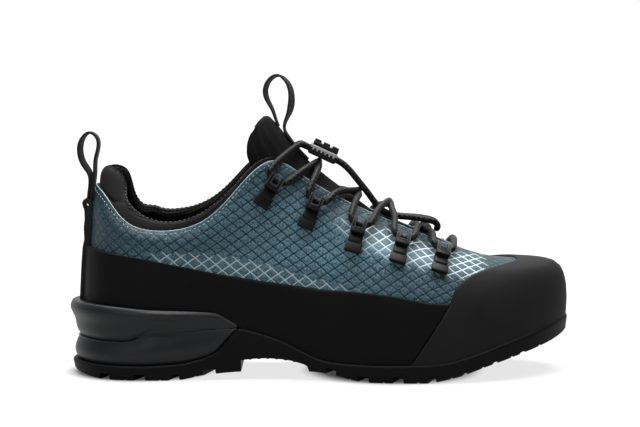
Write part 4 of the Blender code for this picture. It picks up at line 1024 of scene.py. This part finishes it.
def make_cuff():
    """Padded collar: jersey outside, spacer mesh inside, joined by a stitched seam near its rim."""
    shares = np.linspace(share_at(CUFF_FRONT, MEDIAL) - 1, share_at(CUFF_FRONT, LATERAL), 190)
    turns = np.linspace(0, 1, 81)
    rings, laid, line, normals, crest, seams = [], [], [], [], [], []
    along = lengths([on_upper(u, 1) for u in shares])
    for u, run in zip(shares, along):
        height, pad = float(COLUMN["cuff"](u)[0]), float(COLUMN["pad"](u)[0])
        edge, n = on_upper(u, 1), normal_at(u, 1)
        x = edge[0]
        up = unit(edge - on_upper(u, 0.96))
        if u > 0:
            near = ease(-124, -110, x) * fade(-66, -46, x)
            height += 2.6 * near
            up = unit(up + np.array((0, 0, 0.9)) * near)
        else:
            dip = 5.6 * bump_at(-109.5, 10, x) + 1.2 * bump_at(-97, 13, x)
            height = max(2.4, height - dip)
        seam = 0.5 - 0.11 * ease(-126, -114, x) + 0.035 * ease(-112, -96, x)
        groove = 1.3 - 0.6 * ease(-114, -100, x)
        fold = 0.22 + (seam - 0.22) * ease(-127, -114, x)
        crease = ease(-132, -128, x) * fade(-115, -110, x)
        seams.append(seam)
        begin = WALL + GAP
        section = np.array([
            on_upper(u, 0.75, -begin),
            on_upper(u, 0.9, -begin),
            edge - n * begin - up * 0.2,
            edge - n * (begin - 0.6) + up * max(0.9, 0.18 * height),
            edge - n * (0.12 * pad + 0.6) + up * 0.62 * height,
            edge - n * 0.34 * pad + up * 0.94 * height,
            edge - n * 0.62 * pad + up * height,
            edge - n * 0.92 * pad + up * 0.62 * height,
            edge - n * pad - up * 1.5,
            on_upper(u, 0.9, -0.9 * pad),
            on_upper(u, 0.75, -begin - 1.2),
        ])
        section = np.vstack([section, section[:1]])
        curve = spline(np.linspace(0, 1, len(section)), section, closed=True)
        ring = np.array([curve(t) for t in turns])
        middle = ring[:-1].mean(axis=0)
        sink = groove * bump_at(seam, 0.036, turns) + crease * bump_at(fold, 0.032, turns)
        ring -= unit(ring - middle) * sink[:, None]
        rings.append(ring)
        laid.append([(run, s) for s in lengths(ring)])
        stitch = curve(seam + 0.045)
        crest.append(curve(0.545))
        line.append(stitch)
        normals.append(stitch - middle)
    normals = unit(normals)
    bm = grid(rings, np.array(laid), finish_of=lambda i, j: 0 if turns[j] < seams[i] - 0.012 else 1)
    cuff = piece("collar_cuff_padded", bm, [JERSEY, MESH], replaces=["collar_cuff"])
    piece("cuff_piping", cord_mesh(crest, 0.5, 8), [JERSEY])
    stitches("cuff_seam_stitch", line + normals * 0.1, normals, CUFF_STITCH, DARK_THREAD)


def make_tongue():
    """Padded tongue, thinner at its edges, with sewn channels along each side near its top."""
    rows = np.array(TONGUE_ROWS, float)
    along = lengths(rows[:, :2])
    line = spline(along, rows)
    across = np.sin(np.linspace(-1, 1, 53) * math.pi / 2)
    rings, laid = [], []
    end = along[-1]
    for s in np.linspace(0, end, 120):
        x, z, half, fall, thick = line(s)
        run = unit((line(min(end, s + 1)) - line(max(0, s - 1)))[:2])
        out = np.array([run[1], -run[0]])
        out = out if out[0] + out[1] > 0 else -out
        tip = 1 - math.sqrt(max(0.0, 1 - ease(end - 3.5, end, s) ** 2))
        near_top = ease(0.55 * end, 0.8 * end, s)
        rise = ease(end - 9, end - 4, s)
        corner = 1.8 * ease(end - 3, end, s)
        ring, spot = [], []
        for back in (0, 1):
            for q in across[:: 1 - 2 * back]:
                edge = 1 - 0.55 * q**4
                if back:
                    depth = fall * q * q + thick * edge * (1 - 0.45 * tip)
                else:
                    sewn = sum(deep * bump_at(at, CHANNEL_HALF, abs(q)) for at, deep in TONGUE_CHANNELS)
                    depth = fall * q * q + thick * ((1 - edge) * 0.3 + 0.45 * tip) + sewn * near_top
                lift = rise * q * q - corner * q**6
                place = np.array((x, z)) - out * depth + run * lift
                ring.append((place[0], TONGUE_MIDDLE + q * half, place[1]))
                spot.append((s, q * half + (60 if back else 0)))
        rings.append([*ring, ring[0]])
        laid.append([*spot, spot[0]])
    bm = grid(rings, np.array(laid))
    tongue = piece("tongue_padded", bm, [TONGUE_FABRIC], sharp=60, replaces=["tongue"])


# Sole


def stations(count):
    """Places along x from heel to toe, closer together at both round ends."""
    middle, half = (TOE_TIP[0] + HEEL_TIP[0]) / 2, (TOE_TIP[0] - HEEL_TIP[0]) / 2
    turn = np.linspace(0, math.pi, count)
    return [middle - half * (0.8 * math.cos(a) + 0.2 * (1 - 2 * a / math.pi)) for a in turn]


def sole_sides(x):
    """The lateral and the medial y of the sole's edge at x."""
    return [sole_edge(share_at(x, side))[0][1] for side in SIDE_NAMES]


def across_sole(x, levels, steps):
    """One closed section of a sole layer at x: up its lateral side, across its top, down and back under."""
    sides = {}
    for side in SIDE_NAMES:
        edge, normal = sole_edge(share_at(x, side))
        sides[side] = np.array([(*(edge - normal * inset), height) for inset, height in levels])
    lateral, medial = sides[LATERAL], sides[MEDIAL][::-1]
    shares = np.linspace(0, 1, steps + 2)[1:-1, None]
    top = lateral[-1] + (medial[0] - lateral[-1]) * shares
    under = medial[-1] + (lateral[0] - medial[-1]) * shares
    return [*lateral, *top, *medial, *under, lateral[0]]


def boolean(obj, cutter):
    """Cuts one piece by another, then removes the cutter."""
    modifier = obj.modifiers.new("cut", "BOOLEAN")
    modifier.operation, modifier.object, modifier.solver = "DIFFERENCE", cutter, "EXACT"
    graph = bpy.context.evaluated_depsgraph_get()
    mesh = bpy.data.meshes.new_from_object(obj.evaluated_get(graph))
    obj.modifiers.clear()
    obj.data = mesh
    bpy.data.objects.remove(cutter)


def make_outsole():
    """Outsole with the space under its arch, the tread's grooves and sipes, and ribs under the arch."""
    rings = []
    for x in stations(220):
        low, high = ground(x), outsole_top(x)
        levels = [(2.0, low), (1.2, low + 0.4), (0.7, low + 1.2)]
        for s in np.linspace(0, 1, 7)[1:-1]:
            levels.append((0.7 - 0.7 * ease(0, 1, s), low + 1.2 + (high - 1.2 - low - 1.2) * s))
        levels += [(0.0, high - 1.2), (0.25, high - 0.5), (0.9, high)]
        rings.append(across_sole(x, levels, 5))
    outsole = piece("outsole_tread", grid(rings), [TREAD_RUBBER], 35, ["outsole"])
    first, last = ARCH_LINE[0][0], ARCH_LINE[-1][0]
    roof = [(x, arch_roof(x)) for x in np.linspace(first, last, 40)]
    outline = [(first, -10.0), *roof, (last, -10.0), (first, -10.0)]
    arch = grid([[(x, y, z) for x, z in outline] for y in (-80.0, 80.0)])
    boolean(outsole, loose("arch_space", arch))
    bm = bmesh.new()
    cuts = []
    for x in EDGE_GROOVES:
        size = GROOVE_SIZE + (NICK_SIZE - GROOVE_SIZE) * ease(50, 84, x)
        for side in SIDE_NAMES:
            edge = sole_edge(share_at(x, side))[0]
            cuts.append((edge[0], edge[1] - side * GROOVE_IN, size, side * GROOVE_SLANT))
    for i, x in enumerate(MIDDLE_GROOVES):
        lat, med = sole_sides(x)
        cuts.append((x, (lat + med) / 2, MIDDLE_GROOVE_SIZE, GROOVE_SLANT * (-1) ** i))
    for x in SIPES:
        for side in SIDE_NAMES:
            edge = sole_edge(share_at(x, side))[0]
            cuts.append((edge[0], edge[1] - side * SIPE_IN, SIPE_SIZE, side * GROOVE_SLANT))
    for x, y, size, slant in cuts:
        slope = math.atan2(ground(x + 4) - ground(x - 4), 8)
        place = Matrix.Translation(Vector((x, y, ground(x))) * MM)
        place @= Matrix.Rotation(-slope, 4, "Y") @ Matrix.Rotation(math.radians(slant), 4, "Z")
        bmesh.ops.create_cube(bm, size=1, matrix=place @ Matrix.Diagonal((*(Vector(size) * MM), 1)))
    boolean(outsole, loose("tread_slots", bm))
    outsole.data.shade_smooth()
    outsole.data.set_sharp_from_angle(angle=math.radians(35))
    ribs = []
    for x in np.arange(-41, -11, 5.2):
        lat, med = sole_sides(x)
        ribs.append(((1.8, med - lat - 6, 2.0), (x, (lat + med) / 2, arch_roof(x) + 0.2), 0.5, 2))
    boxed("arch_ribs", Matrix.Identity(4), ribs, TREAD_RUBBER)


def wedge_levels(x):
    """Outer face of the heel wedge at x, from its foot to its lip: inset from the sole's edge, height."""
    n = float(np.clip((WEDGE_FRONT + 1 - x) / WEDGE_GROWS, 0, 1))
    slope = (outsole_top(x + 1) - outsole_top(x - 1)) / 2
    foot = outsole_top(x) + GAP * math.hypot(1, slope)
    step, lip = wedge_step(x), wedge_lip(x)
    lower = spline((0, 0.16, 1), [
        (1.6 + 1.4 * n, foot), (0.9 + 0.9 * n, foot + 0.16 * (step - foot)), (1.0 + 3.4 * n, step - 0.1),
    ])
    upper = spline((0, 0.12, 0.5, 0.84, 1), [
        (1.0 + 3.4 * n, step + 0.1), (0.9 + 2.0 * n, step + 0.12 * (lip - step)),
        (0.6 + 0.4 * n, step + 0.5 * (lip - step)), (0.6 - 2.0 * n, lip - 0.16 * (lip - step)),
        (1.0 - n, lip),
    ])
    lows = [lower(s) for s in np.linspace(0, 0.9, 15)]
    groove = [(0.5 + 2.9 * n, step - 1.0), (0.6 + 2.9 * n, step - 0.7), (1.1 + 3.5 * n, step - 0.3)]
    highs = [upper(s) for s in np.linspace(0.01, 1, 22)]
    return np.array([*lows, *groove, *highs])


def make_heel_wedge():
    """Foam cup round the heel, with a crease and an overhanging lip."""
    first, last = share_at(WEDGE_FRONT, LATERAL), share_at(WEDGE_FRONT, MEDIAL) - 1
    turn = np.linspace(-1, 1, 241)
    shares = (first + last) / 2 + (first - last) / 2 * np.sin(turn * math.pi / 2)
    rings = []
    for u in shares:
        edge, normal = sole_edge(u)
        levels = wedge_levels(edge[0])
        face = [np.array((*(edge - normal * inset), height)) for inset, height in levels]
        lip = face[-1]
        inner = on_upper(u, 0.05, OVERLAY_GAP + RAND_THICK + GAP)
        inner = np.array((inner[0], inner[1], lip[2] + 0.2))
        soft = [lip + (inner - lip) * f + np.array((0, 0, r)) for f, r in WEDGE_RIM]
        deep = np.array((inner[0], inner[1], min(lip[2], max(face[0][2], lip[2] - 8))))
        base = np.array((*(edge - normal * 8.0), face[0][2]))
        rings.append([*face, *soft, inner, deep, base, face[0]])
    piece("heel_wedge_skin", grid(rings), [WEDGE_FOAM], 50, ["heel_wedge"])


def make_insole():
    """Plain footbed with rounded edges."""
    rings = []
    foot_in = COLUMN["foot_in"]
    for x in stations(120)[1:-1]:
        inset = float(foot_in(share_at(x, LATERAL))[0]) + WALL + 2 * GAP
        low = floor_height(x) + 2 * GAP
        levels = [(inset + 0.6, low), (inset, low + 1), (inset + 0.1, low + 2.4), (inset + 0.5, low + 3.5)]
        levels.append((inset + 1.4, low + INSOLE_THICK))
        rings.append(across_sole(x, levels, 12))
    piece("insole_footbed", grid(rings), [INSOLE_CLOTH], 50, ["insole"])


# Webbing


def make_webbing():
    """Both pull loops and the heel strap."""
    heel = ribbon_mesh(HEEL_LOOP_ROUTE, HEEL_LOOP_WIDTH, HEEL_TIP[1], HEEL_LOOP_TWIST)
    piece("heel_loop_webbing", heel, [WEBBING], 60, ["heel_pull_loop"])
    top = ribbon_mesh(TONGUE_LOOP_ROUTE, TONGUE_LOOP_WIDTH, TONGUE_MIDDLE, TONGUE_LOOP_TWIST)
    piece("tongue_loop_webbing", top, [WEBBING], 60, ["tongue_pull_loop"])
    make_heel_strap()


def make_heel_strap():
    """Webbing up the back of the heel, lying round its curve, with a fold and an eye at its top."""
    low = wedge_lip(HEEL_TIP[0]) + 0.4
    across = np.array([-7.0, -6.8, -6.2, -3, 0, 3, 6.2, 6.8, 7.0])
    pull = np.array([0.6, 0.2, 0, 0, 0, 0, 0, 0.2, 0.6])
    near = np.linspace(-0.04, 0.04, 33)
    rows = []
    for v in np.linspace(0.02, 0.8, 70):
        out = 2.4 - 2.1 * ease(RAND_SHARE - 0.014, RAND_SHARE + 0.002, v)
        face = np.array([on_upper(u, v, out) for u in near])[::-1]
        if low < face[16, 2] < 101.5:
            rows.append((face[16, 2], *np.interp(HEEL_TIP[1] + across, face[:, 1], face[:, 0])))
    rows = np.array(rows)
    back = profile(STRAP_BACK)
    down = np.linspace(103, low, 44)
    rings, laid = [], []
    for k, y in enumerate(across):
        shift = rows[:, k + 1] - rows[:, 5]
        inner = [(x, z) for z, x in zip(rows[:, 0], rows[:, k + 1])]
        outer = [*STRAP_TOP, *[(back(z), z) for z in down]]
        outer = [(x + float(np.interp(z, rows[:, 0], shift)) + pull[k], z) for x, z in outer]
        route = [(inner[0][0], low), *inner, *outer]
        ring = [(x, HEEL_TIP[1] + y, z) for x, z in route]
        rings.append([*ring, ring[0]])
        laid.append([(z, y) for _, z in [*route, route[0]]])
    strap = piece("heel_strap_webbing", grid(rings, np.array(laid)), [WEBBING], 50, ["heel_strap"])
    x, z, radius = STRAP_EYE
    bm = bmesh.new()
    place = Matrix.Translation(Vector((x, HEEL_TIP[1], z)) * MM) @ Matrix.Rotation(math.pi / 2, 4, "X")
    bmesh.ops.create_cone(
        bm, cap_ends=True, segments=16, radius1=radius * MM, radius2=radius * MM, depth=30 * MM, matrix=place
    )
    boolean(strap, loose("strap_eye", bm))


# Lacing


@lru_cache(maxsize=None)
def holder_frame(number, side):
    """Axes of a lace holder on the upper: along the throat, towards it, and out of the upper."""
    x, z, lean, _ = HOLDER_ROWS[number]
    if side == MEDIAL:
        z -= MEDIAL_DROP[number]
    foot = share_at(x + 4, side)
    near = [(foot + du, v) for du in np.linspace(-0.05, 0.05, 61) for v in np.linspace(0.5, 0.97, 95)]
    u, v = min(near, key=lambda q: np.hypot(*(on_upper(*q)[[0, 2]] - (x, z))))
    middle, n = on_upper(u, v), normal_at(u, v)
    ahead, up = math.sin(math.radians(lean)), math.cos(math.radians(lean))
    towards = unit([ahead, -(n[0] * ahead + n[2] * up) / n[1], up])
    matrix = Matrix.Identity(4)
    for k, axis in enumerate((np.cross(towards, n), towards, n)):
        matrix.col[k][:3] = axis
    matrix.translation = Vector(middle) * MM
    return matrix


def in_holder(number, side, x, y, z):
    """A point, in millimetres, from a holder's own axes. Positive x is always towards the toe."""
    made = holder_frame(number, side)
    forward = 1 if made.col[0][0] > 0 else -1
    return np.array(made @ (Vector((x * forward, y, z)) * MM)) / MM


def make_lace_holders():
    """Each holder: a flat foot, a rounded fold above it, and a forked plate with a raised rim on its fork.

    The rim is coloured paler than the plate, as a painted highlight.
    """
    level, rim = LOOP_LIFT + LOOP_THICK / 2, LOOP_LIFT + LOOP_THICK + 0.1
    tab = [
        ((HOLDER_WIDTH + 1.2, 6.4, 2.8), (0, -7.0, 1.7), 0.7, 3),
        ((HOLDER_WIDTH - 0.4, 6.0, 3.4), (0, -1.8, 2.1), 1.2, 4),
    ]
    loop = [
        ((HOLDER_WIDTH + 0.2, 3.4, LOOP_THICK), (0, 2.5, level), 0.5, 2),
        ((HOLDER_WIDTH - 0.6, 2.2, LOOP_LIFT), (0, 2.0, LOOP_LIFT / 2 + 0.6), 0.4, 2),
    ]
    rims = [((HOLDER_WIDTH - 3.6, 0.6, 0.7), (0, 3.7, rim), 0.22, 2)]
    for way in (-1, 1):
        loop.append(((2.4, 7.6, LOOP_THICK), (way * 3.15, 6.8, level), 0.5, 2))
        rims.append(((0.55, 8.6, 0.7), (way * 4.0, 6.2, rim), 0.22, 2))
        rims.append(((0.55, 6.6, 0.7), (way * 2.3, 7.1, rim), 0.22, 2))
    for side, word in SIDE_NAMES.items():
        for number in range(len(HOLDER_ROWS)):
            place = holder_frame(number, side)
            end = f"_{word}_{number + 1}"
            boxed("holder_tab" + end, place, tab, HOLDER_NYLON, ["lace_tab" + end])
            boxed("holder_loop" + end, place, loop, HOLDER_NYLON, ["lace_loop" + end])
            boxed("holder_rim_painted_highlight" + end, place, rims, HOLDER_RIM_PAINTED_HIGHLIGHT)


@lru_cache(maxsize=None)
def share_of_top(x, side):
    """Share of the sole's edge whose rib reaches the throat's edge at x."""
    ring = np.linspace(0.08, 0.49, 120)
    shares = ring if side == LATERAL else 1 - ring
    return float(np.interp(x, [on_upper(u, 1)[0] for u in shares], shares))


def over_edge(number, side, towards_toe):
    """Where the lace passes over the throat's edge beside a holder, lower at the first holder."""
    x = HOLDER_ROWS[number][3] + towards_toe * 6.5
    lift = 2.2
    if number == 0:
        x += 3.2
        lift = 0.6
    u = share_of_top(float(np.clip(x, -29, 80)), side)
    return on_upper(u, 1, LACE_DIAMETER / 2 + lift)


def lock_point(x, y, z):
    """A point, in millimetres, from the cord lock's own axes."""
    tilt = Matrix.Rotation(math.radians(LOCK_TILT), 4, "Y")
    return np.array(Matrix.Translation(Vector(LOCK_MIDDLE)) @ tilt @ Vector((x, y, z)))


def lace_route():
    """The lace from the lock down one side, across the front pair and up the other side to the lock."""
    rear = -LOCK_SIZE[0] / 2
    legs = []
    for first in SIDE_NAMES:
        leg = [lock_point(rear + back, first * (STRAND_SPREAD + out), 0) for back, out in LOCK_WAY]
        side = first
        for number, row in enumerate((*CROSSING_ROWS, None)):
            leg.append(over_edge(number, side, -1))
            leg += [in_holder(number, side, *spot) for spot in HOLDER_WAY]
            leg.append(over_edge(number, side, 1))
            if row is not None:
                x, z, above, below = row
                lift = above if side == LATERAL else -below
                leg += [np.array((x + d, TONGUE_MIDDLE + side * 4.5 * -d, z + lift)) for d in (-1, 1)]
            side = -side
        legs.append(leg)
    return [*legs[0], np.array(BAR_MIDDLE, float), *legs[1][::-1]]


def make_lace():
    """The lace through all the holders, and its tail as a loop in front of the lock."""
    path = rounded(lace_route(), 1.0)
    nodes = ["lace_bar", *[f"lace_crossing_{n}" for n in (1, 2, 3, 4)], "lace_end_lateral", "lace_end_medial"]
    cord = cord_mesh(path, LACE_DIAMETER / 2, CORD_SIDES)
    lace = piece("lace_run", cord, [LACE], 180, nodes)
    back = [(x, -y, z) for x, y, z in reversed(TAIL_ROUTE[:-1])]
    begin = lock_point(LOCK_SIZE[0] / 2 - 1.0, -STRAND_SPREAD, 0)
    path = through([begin, *TAIL_ROUTE, *back, begin * (1, -1, 1)], 1.0)
    cord = cord_mesh(path, LACE_DIAMETER / 2, CORD_SIDES)
    tail = piece("lace_tail_loop", cord, [LACE], 180, ["lace_tail"])


def make_cord_lock():
    """Housing, a toothed rim along each side of it painted pale as a highlight, and the ribbed slider on top.
    """
    place = Matrix.Translation(Vector(LOCK_MIDDLE) * MM) @ Matrix.Rotation(math.radians(LOCK_TILT), 4, "Y")
    long, wide, tall = LOCK_SIZE
    housing = [((long, wide - 0.8, tall), (0, 0, 0), 1.3, 3)]
    rims = []
    for side in SIDE_NAMES:
        out = side * (wide / 2 - 0.45)
        rims.append(((long - 0.8, 0.9, 1.7), (0, out, tall / 2 - 0.9), 0.35, 2))
        for x in np.linspace(-long / 2 + 2.4, long / 2 - 2.4, 6):
            rims.append(((1.3, 0.8, 1.6), (x, out, tall / 2 - 2.2), 0.3, 1))
    lift = tall / 2 + GAP
    long, wide, thick = LOCK_SLIDER_SIZE
    slider = [((long, wide, thick * 0.6), (0, 0, lift + thick * 0.3), 0.6, 3)]
    for x in (-5.7, 0, 5.7):
        slider.append(((4.2, wide - 0.8, thick * 0.7), (x, 0, lift + thick * 0.66), 0.5, 2))
    boxed("lock_housing", place, housing, LOCK_NYLON, ["cord_lock_body"])
    boxed("lock_rims", place, rims, LOCK_RIM_PAINTED_HIGHLIGHT)
    boxed("lock_slider", place, slider, LOCK_NYLON, ["cord_lock_slider"])


make_stage()
make_lace()
make_cord_lock()
make_lace_holders()
make_upper()
make_rand()
make_toe_cap()
make_cuff()
make_tongue()
make_webbing()
make_heel_wedge()
make_insole()
make_outsole()
